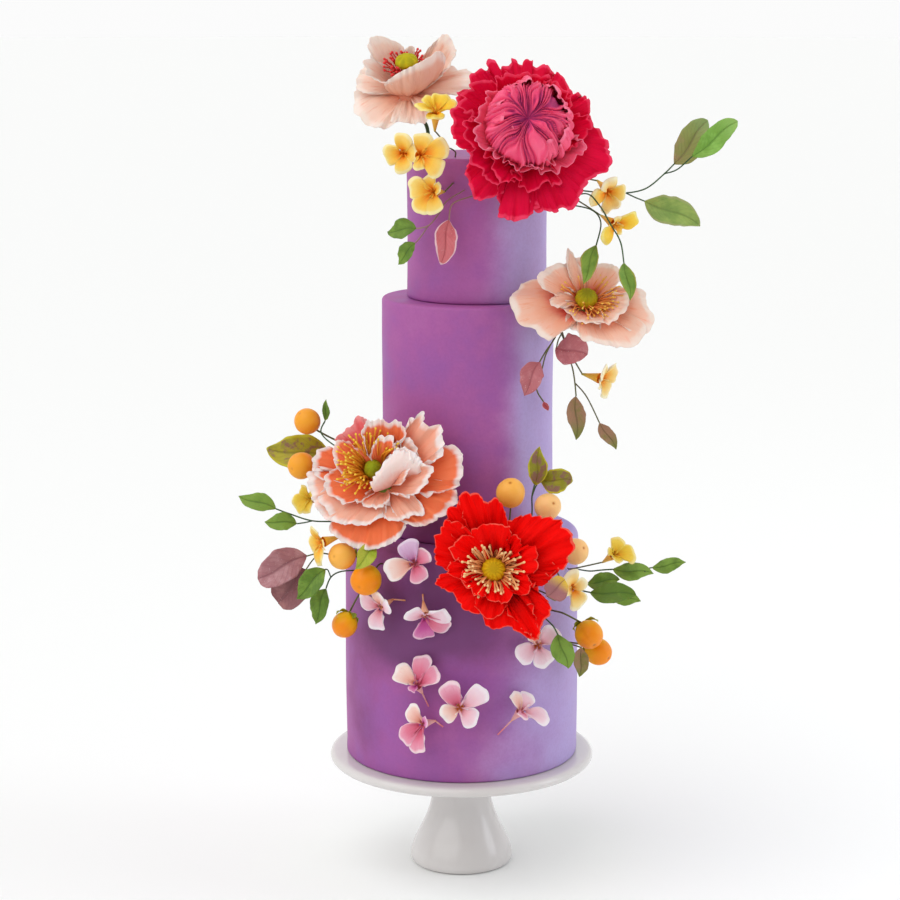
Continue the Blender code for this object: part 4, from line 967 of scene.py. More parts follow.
# ------------------------------------------------------------------------------------------
# Large flowers
# ------------------------------------------------------------------------------------------
FLOWERS = {
    "poppy_red": dict(
        heart=(26, -118, 293), facing=(-3, 20), slot="sugar_red",
        every=dict(crease=2.1, crimp=(8, 1.7), frill=0.05, steps=(80, 20)),
        root=("side", "bottom", 15, 286), way=[], materials=[RED],
        petals=[
            ([(122, 52, 30), (116, 70, 26), (111, 73, 26), (103, 71, 28), (95, 62, 32),
              (89, 66, 28), (82, 57, 30), (72, 46, 34)], dict(bow=12, ruffle=1.8, waves=3)),
            ([(142, 48, 24), (134, 59, 20), (126, 65, 22), (118, 66, 24), (112, 58, 28)],
             dict(bow=14, ruffle=1.6, waves=3)),
            ([(-176, 40, 20), (176, 48, 16), (164, 53, 18), (151, 57, 20), (139, 60, 24),
              (131, 57, 28), (124, 48, 34)], dict(bow=20, ruffle=2.4, waves=5)),
            ([(-178, 30, 22), (-172, 42, 14), (-167, 51, 8), (-157, 44, 8), (-148, 40, 10),
              (-133, 39, 11), (-118, 41, 12), (-103, 37, 16), (-97, 28, 24)],
             dict(bow=26, ruffle=2.0, waves=4)),
            ([(-106, 28, 22), (-100, 42, 14), (-95, 48, 10), (-82, 48, 9), (-72, 50, 9),
              (-64, 62, 8), (-57, 66, 7), (-50, 58, 10), (-42, 42, 18)],
             dict(bow=22, ruffle=2.6, waves=4)),
            ([(-68, 42, 18), (-60, 62, 9), (-56, 67, 7), (-45, 59, 8), (-38, 60, 10),
              (-31, 56, 12), (-27, 44, 16), (-22, 32, 24)],
             dict(bow=20, ruffle=3.2, waves=3)),
            ([(80, 40, 34), (72, 48, 30), (60, 55, 26), (47, 64, 24), (34, 72, 22),
              (22, 74, 20), (13, 70, 18), (4, 61, 17), (-6, 44, 20)],
             dict(bow=16, ruffle=2.2, waves=8)),
            ([(16, 40, 26), (4, 56, 18), (-6, 52, 18), (-14, 47, 19), (-20, 42, 21),
              (-24, 32, 28)], dict(bow=20, ruffle=1.8, waves=3)),
            ([(136, 30, 42), (122, 43, 39), (113, 47, 42), (93, 50, 46), (71, 51, 46),
              (62, 44, 45), (58, 32, 48)], dict(bow=-12, curl=40, ruffle=1.5, waves=3)),
            ([(72, 30, 48), (64, 38, 44), (55, 42, 43), (40, 41, 42), (30, 32, 44)],
             dict(bow=-8, curl=30, ruffle=1.5, waves=3)),
            ([(42, 32, 44), (32, 44, 38), (26, 47, 36), (12, 45, 34), (-1, 42, 34),
              (-12, 36, 36), (-16, 26, 42)], dict(bow=-6, curl=40, ruffle=2.0, waves=4)),
            ([(-6, 30, 40), (-16, 38, 34), (-26, 40, 30), (-42, 38, 32), (-52, 28, 40)],
             dict(bow=-6, curl=40, ruffle=1.8, waves=3)),
            ([(174, 28, 40), (160, 44, 34), (150, 47, 34), (138, 45, 36), (126, 42, 40),
              (116, 32, 46)], dict(bow=4, curl=30, ruffle=2.0, waves=4)),
            ([(-150, 26, 40), (-164, 38, 34), (-176, 42, 30), (174, 42, 30), (164, 32, 36)],
             dict(bow=4, curl=30, ruffle=2.0, waves=3)),
            ([(-168, 24, 40), (-160, 34, 36), (-142, 34, 40), (-124, 35, 42), (-108, 34, 42),
              (-96, 24, 46)], dict(bow=-8, curl=44, ruffle=2.2, waves=4)),
            ([(-114, 22, 46), (-104, 33, 42), (-86, 36, 40), (-70, 37, 38), (-56, 34, 38),
              (-44, 24, 44)], dict(bow=-8, curl=44, ruffle=2.2, waves=4)),
            ([(-128, 24, 30), (-112, 38, 22), (-96, 42, 18), (-84, 42, 18), (-72, 36, 22),
              (-62, 24, 30)], dict(bow=10, curl=20, ruffle=2.6, waves=3)),
        ],
        pod=(9.8, 11.5, 0.85, 14, POD_MUSTARD),
        rods=[(PEACH_ROD, dict(count=125, ring=(7, 10), height=6, reach=(13, 25),
                               rise=(12, 25), radius=0.68, head=1.1))]),
    "peony_coral": dict(
        heart=(-65, -80, 356), facing=(-12, 36), slot="sugar_coral",
        every=dict(crimp=(5.5, 1.15), steps=(80, 22)),
        root=("over", "bottom", (-62, -62)), way=[],
        materials=[CORAL, CORAL_PALE, CORAL_DEEP, CORAL_WHITE],
        heart_shift=(-6, 6, 9),
        flaps=[([(-3.6, -12, 14), (8, -6, 12), (19.7, 1.2, 14), (30, 3.6, 16)],
                [(-5, -9, 28), (-1, -5, 34), (6, 4, 38), (12.4, 13.3, 38), (21.6, 18.8, 38),
                 (32, 14.2, 36), (37.5, 8.5, 34), (36, 4, 26)],
                dict(bulge=(1, -6, 11), slot=3, crimp=(7, 1.0)))],
        petals=[
            ([(152, 46, 36), (144, 58, 31), (137, 56, 33), (130, 59, 36), (122, 60, 38),
              (111, 63, 40), (104, 50, 46)], dict(bow=8, ruffle=1.6, waves=4, slot=2)),
            ([(120, 44, 54), (110, 58, 47), (100, 58, 48), (87, 61, 46), (79, 58, 47),
              (72, 61, 46), (59, 57, 46), (50, 44, 52)], dict(bow=-6, ruffle=1.8, waves=4)),
            ([(72, 42, 48), (63, 57, 40), (60, 66, 36), (56, 72, 34), (50, 67, 34),
              (44, 69, 32), (39, 74, 32), (29, 71, 32), (22, 67, 30), (12, 50, 34)],
             dict(bow=4, ruffle=2.2, waves=6, slot=1)),
            ([(38, 46, 30), (28, 64, 22), (26, 72, 20), (16, 73, 16), (6, 71, 14),
              (-5, 64, 12), (-14, 46, 18)], dict(bow=16, ruffle=2.4, waves=6)),
            ([(8, 44, 18), (-4, 61, 11), (-10, 68, 8), (-18, 65, 6), (-26, 60, 4),
              (-42, 51, 1), (-53, 43, 2), (-62, 32, 10)],
             dict(bow=20, ruffle=2.4, waves=7)),
            ([(-48, 28, 4), (-57, 41, -3), (-64, 46, -4), (-74, 50, -5), (-84, 53, -6),
              (-94, 55, -6), (-107, 57, -6), (-125, 58, -4), (-136, 57, 0), (-145, 40, 8)],
             dict(bow=22, ruffle=2.4, waves=8)),
            ([(-124, 38, 12), (-136, 53, 7), (-151, 59, 8), (-163, 61, 10), (-175, 63, 12),
              (179, 65, 15), (174, 48, 24)], dict(bow=18, ruffle=2.2, waves=7, slot=1)),
            ([(-168, 42, 26), (179, 60, 19), (171, 62, 20), (163, 64, 24), (157, 60, 27),
              (152, 54, 30), (146, 40, 38)], dict(bow=10, ruffle=2.2, waves=6)),
            ([(124, 34, 56), (138, 46, 47), (142, 53, 42), (151, 56, 38), (164, 50, 36),
              (180, 40, 36), (-166, 28, 42)], dict(bow=-4, curl=26, ruffle=2.2, waves=5)),
            ([(168, 36, 38), (-179, 50, 29), (-169, 52, 26), (-158, 49, 24), (-142, 42, 26),
              (-127, 34, 30), (-116, 22, 40)], dict(bow=8, ruffle=1.6, waves=5)),
            ([(-176, 40, 20), (-163, 55, 12), (-145, 53, 12), (-132, 52, 10),
              (-116, 45, 11), (-102, 40, 12), (-85, 34, 16), (-70, 24, 26)],
             dict(bow=18, ruffle=2.0, waves=6, slot=1)),
            ([(-130, 20, 36), (-120, 30, 30), (-98, 30, 30), (-74, 30, 31), (-56, 22, 38)],
             dict(bow=2, curl=20, ruffle=1.8, waves=4, slot=1)),
            ([(-88, 22, 24), (-78, 34, 15), (-66, 39, 12), (-55, 40, 12), (-44, 43, 12),
              (-34, 47, 11), (-22, 36, 20)],
             dict(bow=16, ruffle=1.2, waves=3, slot=1)),
            ([(62, 36, 54), (51, 52, 46), (30, 50, 42), (14, 50, 40), (5, 57, 35),
              (-7, 52, 33), (-16, 45, 31), (-28, 40, 30), (-42, 28, 36)],
             dict(bow=2, curl=16, ruffle=2.4, waves=6, slot=1)),
            ([(-20, 30, 46), (-2, 42, 50), (14, 50, 52), (34, 50, 54), (52, 42, 56),
              (66, 30, 60)], dict(bow=-14, curl=40, ruffle=1.8, waves=4, slot=1)),
            ([(116, 34, 60), (96, 46, 58), (78, 50, 56), (60, 48, 56), (46, 36, 58)],
             dict(bow=-14, curl=30, ruffle=1.8, waves=4)),
        ],
        pod=(7.6, 12.0, 1.0, 5, POD_GREEN),
        rods=[(POLLEN, dict(count=110, ring=(7, 11), height=6, reach=(13, 30), rise=(16, 31),
                            radius=0.5, head=0.95, sector=(40, 250))),
              (POLLEN, dict(count=12, ring=(7, 10), height=4, reach=(12, 18), rise=(10, 16),
                            radius=0.5, head=0.9, sector=(215, 275)))]),
    "poppy_blush": dict(
        heart=(102, -57, 503), facing=(5, 50), slot="sugar_blush",
        every=dict(crease=0.3, crimp=(9, 0.9)),
        root=("side", "middle", 62, 482), way=[], materials=[POPPY_BLUSH],
        petals=[
            ([(146, 28, 32), (156, 46, 20), (162, 55, 13), (168, 59, 12), (178, 64, 12),
              (-174, 67, 12), (-165, 64, 8), (-157, 61, 6), (-149, 53, 5), (-141, 54, 4),
              (-131, 52, 4), (-126, 42, 7), (-120, 26, 14)],
             dict(bow=22, ruffle=2.0, waves=4, frill=0.02)),
            ([(-166, 26, 38), (-178, 42, 32), (176, 48, 32), (162, 50, 34), (151, 47, 36),
              (138, 44, 37), (124, 41, 38), (113, 39, 38), (106, 28, 42)],
             dict(bow=14, ruffle=1.8, waves=4)),
            ([(130, 30, 44), (119, 46, 44), (112, 51, 45), (106, 44, 44), (102, 30, 44)],
             dict(bow=8, ruffle=1.0, waves=2)),
            ([(120, 30, 44), (112, 40, 42), (101, 42, 42), (93, 39, 42), (84, 28, 44)],
             dict(bow=10, ruffle=1.4, waves=3)),
            ([(88, 22, 46), (76, 34, 43), (63, 39, 42), (47, 42, 40), (35, 42, 38),
              (22, 38, 36), (10, 26, 38)], dict(bow=12, ruffle=1.4, waves=3, frill=0.02)),
            ([(18, 28, 34), (6, 44, 26), (2, 51, 21), (-8, 51, 18), (-16, 53, 15),
              (-20, 59, 12), (-30, 60, 8), (-40, 59, 7), (-48, 42, 12)],
             dict(bow=24, ruffle=2.0, waves=4, frill=0.02)),
            ([(-24, 38, 14), (-34, 56, 9), (-44, 60, 6), (-62, 57, 6), (-72, 49, 6),
              (-86, 43, 6), (-98, 43, 8), (-106, 37, 12), (-112, 24, 20)],
             dict(bow=22, ruffle=2.2, waves=4, frill=0.02)),
            ([(146, 20, 48), (164, 28, 40), (-172, 32, 34), (-154, 30, 31), (-138, 29, 29),
              (-123, 29, 28), (-108, 33, 27), (-90, 38, 27), (-72, 36, 28),
              (-62, 26, 34)], dict(bow=-10, curl=24, ruffle=1.0, waves=4)),
            ([(-92, 26, 34), (-78, 37, 28), (-62, 41, 27), (-49, 41, 28), (-37, 41, 28),
              (-24, 41, 30), (-14, 41, 33), (-4, 30, 42)],
             dict(bow=-12, curl=20, ruffle=1.0, waves=4)),
            ([(-146, 18, 22), (-136, 28, 13), (-120, 32, 10), (-106, 32, 9), (-92, 31, 10),
              (-78, 33, 11), (-64, 26, 18)], dict(bow=18, ruffle=1.4, waves=3)),
            ([(180, 26, 36), (-173, 36, 31), (-164, 38, 28), (-154, 35, 28), (-146, 26, 32)],
             dict(bow=6, curl=50, ruffle=2.2, waves=4)),
        ],
        pod=(9.3, 10.5, 0.9, 10, POD_OLIVE),
        rods=[(ORANGE_ROD, dict(count=84, ring=(7, 9), height=5, reach=(16, 29), rise=(9, 20),
                                radius=0.4, head=0.8, sector=(-100, 60))),
              (ORANGE_ROD, dict(count=26, ring=(7, 9), height=5, reach=(14, 27),
                                rise=(10, 22), radius=0.4, head=0.8, sector=(60, 260)))]),
    "peony_blush": dict(
        heart=(-44, -4, 675), facing=(-8, 60), slot="sugar_blush",
        every=dict(crease=0.9, crimp=(8, 1.1)),
        root=("over", "top", (-26, -20)), way=[(-28, -14, 640), (-31, -8, 652)],
        materials=[BLUSH],
        petals=[
            ([(-12, 26, 36), (0, 42, 39), (6, 49, 40), (12, 56, 42), (22, 59, 46),
              (30, 60, 51), (40, 57, 51), (48, 49, 50), (60, 32, 54)],
             dict(bow=-14, ruffle=0.6, waves=2, frill=0.01)),
            ([(-176, 28, 42), (168, 44, 45), (157, 56, 50), (146, 57, 52), (130, 51, 56),
              (115, 43, 62), (98, 30, 66)], dict(bow=-10, ruffle=1.6, waves=4)),
            ([(118, 28, 60), (100, 38, 59), (82, 40, 58), (62, 30, 62)],
             dict(bow=-6, ruffle=1.2, waves=3)),
            ([(-150, 24, 38), (-130, 34, 48), (-108, 39, 56), (-85, 44, 61), (-60, 50, 61),
              (-42, 56, 60), (-20, 59, 58), (-8, 52, 50), (2, 36, 42)],
             dict(bow=-34, ruffle=0.6, waves=2, frill=0.01)),
            ([(158, 32, 48), (174, 46, 46), (-172, 50, 45), (-158, 45, 42), (-142, 39, 42),
              (-128, 36, 44), (-110, 26, 50)], dict(bow=-6, curl=14, ruffle=1.4, waves=4)),
            ([(146, 30, 34), (160, 45, 24), (169, 47, 20), (180, 46, 17), (-174, 45, 13),
              (-164, 40, 13), (-154, 26, 18)], dict(bow=20, ruffle=2.0, waves=4)),
            ([(172, 28, 16), (-178, 45, 8), (-167, 48, 2), (-156, 49, -2), (-142, 48, -6),
              (-130, 47, -9), (-120, 45, -10), (-108, 39, -10), (-98, 26, -4)],
             dict(bow=24, ruffle=2.0, waves=4)),
            ([(-122, 22, -4), (-111, 34, -9), (-98, 34, -9), (-84, 34, -9), (-72, 37, -7),
              (-60, 37, -5), (-50, 26, 2)], dict(bow=26, ruffle=1.8, waves=3)),
            ([(-68, 24, 4), (-46, 33, 7), (-28, 35, 10), (-10, 35, 14), (8, 33, 18),
              (28, 24, 26)], dict(bow=24, ruffle=1.6, waves=3)),
            ([(38, 22, 32), (30, 40, 22), (24, 47, 20), (14, 55, 18), (7, 53, 16),
              (0, 57, 15), (-8, 58, 14), (-15, 48, 11), (-22, 28, 12)],
             dict(bow=22, ruffle=2.2, waves=5)),
            ([(150, 26, 26), (126, 40, 22), (96, 42, 22), (66, 40, 24), (44, 26, 30)],
             dict(bow=24, ruffle=2.0, waves=4)),
        ],
        pod=(9.4, 33.0, 0.62, 7, POD_LEMON), base_colour=BLUSH_BASE,
        rods=[(RED_ROD, dict(count=64, ring=(6, 9), height=14, reach=(11, 18), rise=(25, 34),
                             radius=0.5, head=1.1))]),
    "peony_magenta": dict(
        heart=(50, -70, 642), facing=(3, 23), slot="sugar_magenta",
        every=dict(crimp=(9, 2.6), frill=0.012, steps=(80, 20)),
        root=("side", "top", 42, 611), way=[], materials=[MAGENTA, MAGENTA_PINK],
        petals=[
            ([(150, 46, 26), (135, 66, 18), (129, 69, 17), (123, 66, 17), (119, 63, 17),
              (116, 70, 16), (111, 69, 16), (106, 60, 17), (98, 44, 24)],
             dict(bow=16, ruffle=2.4, waves=6)),
            ([(116, 44, 24), (108, 61, 17), (101, 61, 16), (99, 67, 16), (93, 62, 16),
              (88, 65, 16), (83, 65, 16), (80, 60, 16), (73, 63, 16), (66, 60, 16),
              (58, 44, 22)], dict(bow=16, ruffle=2.4, waves=7)),
            ([(80, 42, 24), (68, 58, 17), (59, 60, 17), (52, 58, 17), (45, 56, 18),
              (38, 52, 20), (30, 40, 24)], dict(bow=16, ruffle=2.2, waves=6)),
            ([(52, 40, 26), (42, 51, 20), (36, 58, 18), (30, 61, 17), (22, 60, 16),
              (14, 57, 16), (7, 58, 15), (0, 44, 20)], dict(bow=18, ruffle=2.4, waves=6)),
            ([(16, 40, 22), (7, 56, 17), (2, 63, 15), (-9, 70, 14), (-20, 75, 13),
              (-26, 74, 12), (-32, 68, 11), (-42, 65, 10), (-52, 62, 10), (-62, 44, 14)],
             dict(bow=22, ruffle=2.2, waves=6, frill=0.02)),
            ([(-36, 42, 14), (-45, 60, 9), (-52, 69, 8), (-60, 73, 7), (-65, 67, 7),
              (-70, 69, 7), (-75, 66, 7), (-84, 63, 7), (-94, 44, 14)],
             dict(bow=22, ruffle=2.6, waves=6)),
            ([(-76, 44, 14), (-85, 63, 8), (-89, 69, 8), (-95, 73, 8), (-102, 73, 8),
              (-109, 73, 8), (-110, 63, 9), (-115, 57, 10), (-123, 42, 16)],
             dict(bow=22, ruffle=3.0, waves=5)),
            ([(-108, 42, 14), (-116, 57, 9), (-122, 63, 9), (-127, 69, 9), (-134, 66, 10),
              (-143, 61, 11), (-150, 58, 13), (-160, 42, 20)],
             dict(bow=20, ruffle=2.4, waves=5)),
            ([(-152, 42, 22), (-165, 56, 18), (-176, 61, 16), (175, 63, 16), (169, 62, 17),
              (164, 66, 16), (157, 63, 17), (150, 67, 17), (144, 65, 18), (136, 46, 24)],
             dict(bow=18, ruffle=2.2, waves=7)),
            ([(170, 48, 34), (160, 64, 28), (153, 63, 26), (147, 66, 24), (141, 61, 25),
              (137, 64, 24), (130, 60, 25), (122, 55, 28), (114, 40, 36)],
             dict(bow=6, ruffle=2.2, waves=6)),
            ([(164, 44, 42), (175, 60, 34), (-174, 60, 32), (-166, 57, 32), (-159, 56, 32),
              (-153, 60, 31), (-146, 61, 30), (-138, 60, 29), (-129, 62, 27),
              (-117, 57, 27), (-108, 42, 34)], dict(bow=-4, ruffle=2.0, waves=7)),
            ([(-156, 40, 46), (-144, 54, 39), (-136, 51, 38), (-127, 55, 36),
              (-119, 58, 34), (-108, 56, 31), (-98, 42, 36)],
             dict(bow=-6, ruffle=2.0, waves=5)),
            ([(-120, 38, 36), (-108, 53, 27), (-99, 48, 28), (-92, 53, 24), (-84, 55, 23),
              (-76, 51, 24), (-69, 52, 24), (-62, 54, 24), (-50, 40, 32)],
             dict(bow=2, ruffle=2.4, waves=7)),
            ([(0, 38, 40), (-14, 55, 29), (-26, 55, 28), (-41, 52, 30), (-55, 49, 31),
              (-68, 46, 33), (-81, 43, 35), (-94, 43, 37), (-106, 34, 44)],
             dict(bow=-6, ruffle=1.8, waves=5, slot=1)),
            ([(26, 40, 38), (11, 57, 27), (2, 58, 27), (-8, 54, 30), (-20, 49, 32),
              (-34, 38, 40)], dict(bow=-4, ruffle=1.4, waves=4)),
            ([(136, 40, 48), (123, 56, 39), (113, 58, 38), (100, 55, 38), (90, 57, 38),
              (80, 55, 38), (71, 58, 38), (62, 53, 38)], dict(bow=-8, ruffle=1.8, waves=7)),
            ([(80, 40, 46), (70, 54, 39), (62, 54, 38), (54, 55, 36), (42, 54, 36),
              (30, 53, 36), (18, 40, 42)], dict(bow=-8, ruffle=1.8, waves=6)),
            ([(116, 38, 52), (132, 54, 43), (146, 53, 42), (160, 55, 43), (176, 56, 43),
              (-165, 58, 43), (-152, 56, 43), (-140, 42, 48)],
             dict(bow=-12, ruffle=1.6, waves=5, slot=1)),
            ([(-150, 40, 52), (-136, 50, 48), (-118, 51, 46), (-100, 50, 45),
              (-82, 40, 50)], dict(bow=-18, ruffle=1.6, waves=5, slot=1)),
            ([(-104, 38, 52), (-88, 49, 47), (-70, 50, 45), (-52, 50, 46), (-36, 40, 50)],
             dict(bow=-18, ruffle=1.6, waves=5, slot=1)),
        ],
        pod=None, rods=[]),
}
# petals that close over the ball: angle, half width, how far from the axis they stop
BALL_PETALS = [(-176, 26, 17), (-140, 24, 15), (152, 22, 21), (122, 18, 23), (-108, 20, 18),
               (-80, 18, 20), (92, 18, 26), (-52, 18, 23), (-24, 20, 27), (12, 22, 28), (50, 20, 27)]
BALL_TOP = 54.0


def build_ball(gathered, place):
    """The closed heart of the double peony: folded petals round a finely pleated middle."""
    for number, (angle, half, stop) in enumerate(BALL_PETALS):
        lift = math.degrees(math.atan2(BALL_TOP - 0.18 * stop, stop))
        reach = math.hypot(BALL_TOP - 0.18 * stop, stop)
        rim = [(angle - half, reach * 0.76, lift - 14), (angle - 0.8 * half, reach * 0.90, lift - 6),
               (angle - 0.35 * half, reach * 0.99, lift), (angle + 0.1 * half, reach * 1.01, lift),
               (angle + 0.75 * half, reach * 0.91, lift - 5),
               (angle + half, reach * 0.76, lift - 14)]
        petal(gathered, place, rim, 700 + number, bow=-74 + 0.6 * (stop - 15), curl=4,
              ruffle=1.5, waves=3, frill=0.03, spread=0.25, thick=0.9, start=0.14,
              steps=(46, 30), slot=1, crease=1.9, crimp=(10, 0.9))
    rng = np.random.default_rng(77)
    rows = smooth_rows([(1.0, 45.0), (5, 48.5), (11, 52.5), (18, 53.0), (25, 48.5),
                        (29.5, 40), (30.5, 30), (27, 18), (18, 8), (6, 4)], 60)
    sides = 256
    phase = rng.random(8) * 6.28
    crest = np.zeros((sides, 60))

    def shape(grid, turn, share):
        far = np.hypot(grid[:, :, 0], grid[:, :, 1])
        warp = (turn + 0.16 * np.sin(3 * turn + phase[0] + far / 9)
                + 0.10 * np.sin(7 * turn + phase[1] - far / 6))
        wave = (0.62 * np.cos(19 * warp + phase[2]) + 0.38 * np.cos(31 * warp + phase[3])
                + 0.22 * np.cos(53 * warp + phase[4] + far / 5))
        sharp = 1 - np.abs(wave) ** 0.8
        crest[:] = np.clip(sharp, 0, 1)
        deep = smoothstep(2, 12, far) * 4.8 * (1 - smoothstep(0.62, 0.8, share))
        lift = (crest - 0.6) * deep
        rise = lift + 0.8 * np.sin(5 * turn + phase[5]) * smoothstep(6, 16, far)
        out = grid - np.array([0, 0, 22.0])
        out = out / np.linalg.norm(out, axis=2, keepdims=True)
        return grid + out * rise[:, :, None]

    dark = np.zeros((sides, 60))
    turned(gathered, rows, sides, shape, place, 2)
    folds = gathered.values["along"][-1]
    far = np.hypot(rows[:, 0], 0)[None, :] / 24
    # the pleats' colour value: darker towards the middle, with painted shade in the valleys between pleats
    # and lighter crests
    dark[:] = np.clip(far, 0, 1) * 0.5 + 0.78 * crest - 0.26
    folds = np.concatenate([dark.ravel(), [0.0, 0.4]])
    gathered.values["along"][-1] = folds


def build_flower(node, data, seed):
    place = Place(data["heart"], heading(*data["facing"]))
    bloom = Gathered()
    for number, (rim, options) in enumerate(data["petals"]):
        petal(bloom, place, rim, seed * 100 + number, **{**data["every"], **options})
    for number, (base, rim, options) in enumerate(data.get("flaps", [])):
        flap(bloom, place, base, rim, seed * 100 + 60 + number, **options)
    bloom.piece(f"{node}_petals", data["materials"], node, data["slot"])
    if node == "peony_magenta":
        ball = Gathered()
        build_ball(ball, place)
        middle = place.out([0, 0, 26])
        ball.points = [middle + (part - middle) * 1.09 + [0, 0, 2.0] for part in ball.points]
        ball.piece(f"{node}_ball", [MAGENTA, BALL_PINK, FOLDS], node, data["slot"])
    middle = Gathered()
    palette = [STEM, data.get("base_colour", CALYX)]
    centred = Place(place.out(data.get("heart_shift", (0, 0, 0))), heading(*data["facing"]))
    for number, (material, options) in enumerate(data["rods"]):
        if material not in palette:
            palette.append(material)
        stamens(middle, centred, seed=seed * 10 + number, slot=palette.index(material),
                **options)
    if data["pod"]:
        radius, centre, squash, ridges, material = data["pod"]
        palette.append(material)
        boss(middle, centred, radius, centre, squash, ridges, seed, len(palette) - 1)
    turned(middle, smooth_rows([(1, 8), (7, 7), (11, 3), (11.5, -2), (9.5, -7), (6, -11),
                                (2.6, -14), (1.7, -16)], 24), 32, None, place, 1)
    for k in range(5):
        turn = 36 + 72 * k
        a = math.radians(turn)
        foot = place.out([6 * math.cos(a), 6 * math.sin(a), -9])
        tip = place.out([25 * math.cos(a), 25 * math.sin(a), -1])
        leaf(middle, foot, tip, 11, -0.12, place.turn @ np.array([0, 0, 1.0]), seed * 9 + k,
             1, wavy=0.3)
    start = place.out([0, 0, -14.5])
    wire(middle, wire_root(data["root"]) + [np.array(p, float) for p in data["way"]] + [start],
         1.5, 0, seed)
    middle.piece(f"{node}_heart", palette, node, data["slot"])


build_stand()
for tier_name in TIERS:
    build_tier(tier_name, "tier_" + tier_name)
for number, (flower_node, flower) in enumerate(FLOWERS.items()):
    build_flower(flower_node, flower, number + 1)
# ------------------------------------------------------------------------------------------
# Small flowers, fruit and leaves: the same tables as the part's
# ------------------------------------------------------------------------------------------
# mouth, facing, root, way, petals as (angle, reach, lift, half width)
BLOSSOMS = {
    "blossom_top_1": ((-22, -71, 662), (5, 62), ("over", "top", (-14, -40)), [(-16, -54, 640)],
                      [(9, 19, 30, 36), (60, 20, 34, 34), (121, 18, 34, 30), (196, 20, 30, 34),
                       (262, 16, 20, 40)]),
    "blossom_top_2": ((-47, -50, 630), (-30, -5), ("over", "top", (-30, -14)),
                      [(-34, -20, 633)],
                      [(10, 17, 22, 40), (72, 20, 22, 38), (185, 18, 22, 42), (278, 17, 22, 42)]),
    "blossom_top_3": ((-34, -76, 630), (-8, 5), ("over", "top", (-6, -38)), [(-14, -48, 634)],
                      [(18, 27, 20, 44), (78, 20, 22, 38), (266, 14, 30, 34), (325, 25, 20, 42)]),
    "blossom_top_4": ((-22, -68, 600), (-30, 5), ("side", "top", -19, 606), [(-9, -60, 605)],
                      [(28, 15, 40, 30), (112, 16, 24, 38), (170, 23, 22, 38), (238, 22, 22, 36),
                       (288, 21, 24, 34)]),
    "blossom_right_1": ((119, -46, 600), (30, -25), ("side", "top", 66, 608), [(92, -30, 609)],
                        [(118, 22, 30, 34), (189, 23, 22, 34), (283, 20, 22, 40),
                         (358, 17, 24, 42)]),
    "blossom_right_2": ((124, -54, 573), (40, -20), ("side", "top", 58, 600), [(92, -38, 592)],
                        [(17, 22, 20, 32), (110, 12, 36, 30), (213, 21, 22, 34),
                         (325, 12, 30, 34)]),
    "blossom_middle": ((113, -58, 444), (60, -8), ("side", "middle", 78, 480),
                       [(90, -46, 464)],
                       [(18, 22, 24, 36), (134, 19, 28, 32), (215, 12, 30, 30),
                        (295, 18, 24, 40)]),
    "blossom_left_1": ((-114, -88, 311), (-60, -10), ("over", "bottom", (-78, -48)),
                       [(-86, -68, 316)],
                       [(0, 12, 30, 36), (106, 17, 26, 38), (196, 17, 26, 40),
                        (264, 21, 26, 38)]),
    "blossom_left_2": ((-127, -44, 338), (-50, 2), ("over", "bottom", (-84, -24)),
                       [(-96, -26, 328)],
                       [(30, 12, 28, 34), (132, 14, 26, 38), (209, 19, 24, 40),
                        (270, 14, 26, 38)]),
    "blossom_low_right": ((90, -94, 274), (32, -10), ("side", "bottom", 46, 288), [],
                          [(15, 14, 22, 40), (123, 24, 24, 36), (195, 12, 30, 34),
                           (291, 21, 20, 40)]),
    "blossom_far_right": ((127, -64, 293), (38, 34), ("side", "bottom", 62, 278), [],
                          [(63, 16, 26, 36), (160, 10, 30, 34), (270, 11, 30, 34),
                           (342, 20, 20, 40)]),
}
# centre, radius, free end, root, way
KUMQUATS = {
    "kumquat_left_1": ((-130, -52, 406), 10.8, (-50, 45), ("side", "middle", -52, 372),
                       [(-88, -44, 380), (-110, -44, 390)]),
    "kumquat_left_2": ((-135, -62, 370), 11.3, (-40, -5), ("side", "middle", -62, 352),
                       [(-92, -40, 358)]),
    "kumquat_left_3": ((-100, -91, 299), 11.2, (-35, 10), ("side", "bottom", -50, 296),
                       []),
    "kumquat_left_4": ((-80, -101, 281), 12.8, (-25, -15), ("side", "bottom", -41, 289), []),
    "kumquat_left_5": ((-99, -80, 237), 10.7, (-30, -50), ("side", "bottom", -45, 272),
                       [(-86, -86, 265)]),
    "kumquat_right_1": ((40, -92, 353), 12.2, (-5, 55), ("over", "bottom", (38, -82)), []),
    "kumquat_right_2": ((71, -90, 341), 11.2, (25, 25), ("over", "bottom", (60, -70)), []),
    "kumquat_right_3": ((95, -78, 300), 11.0, (40, 25), ("side", "bottom", 50, 293), []),
    "kumquat_right_4": ((107, -78, 228), 12.0, (25, -35), ("side", "bottom", 47, 247),
                        [(86, -86, 248)]),
    "kumquat_right_5": ((116, -64, 209), 11.5, (50, -20), ("side", "bottom", 60, 214), []),
}
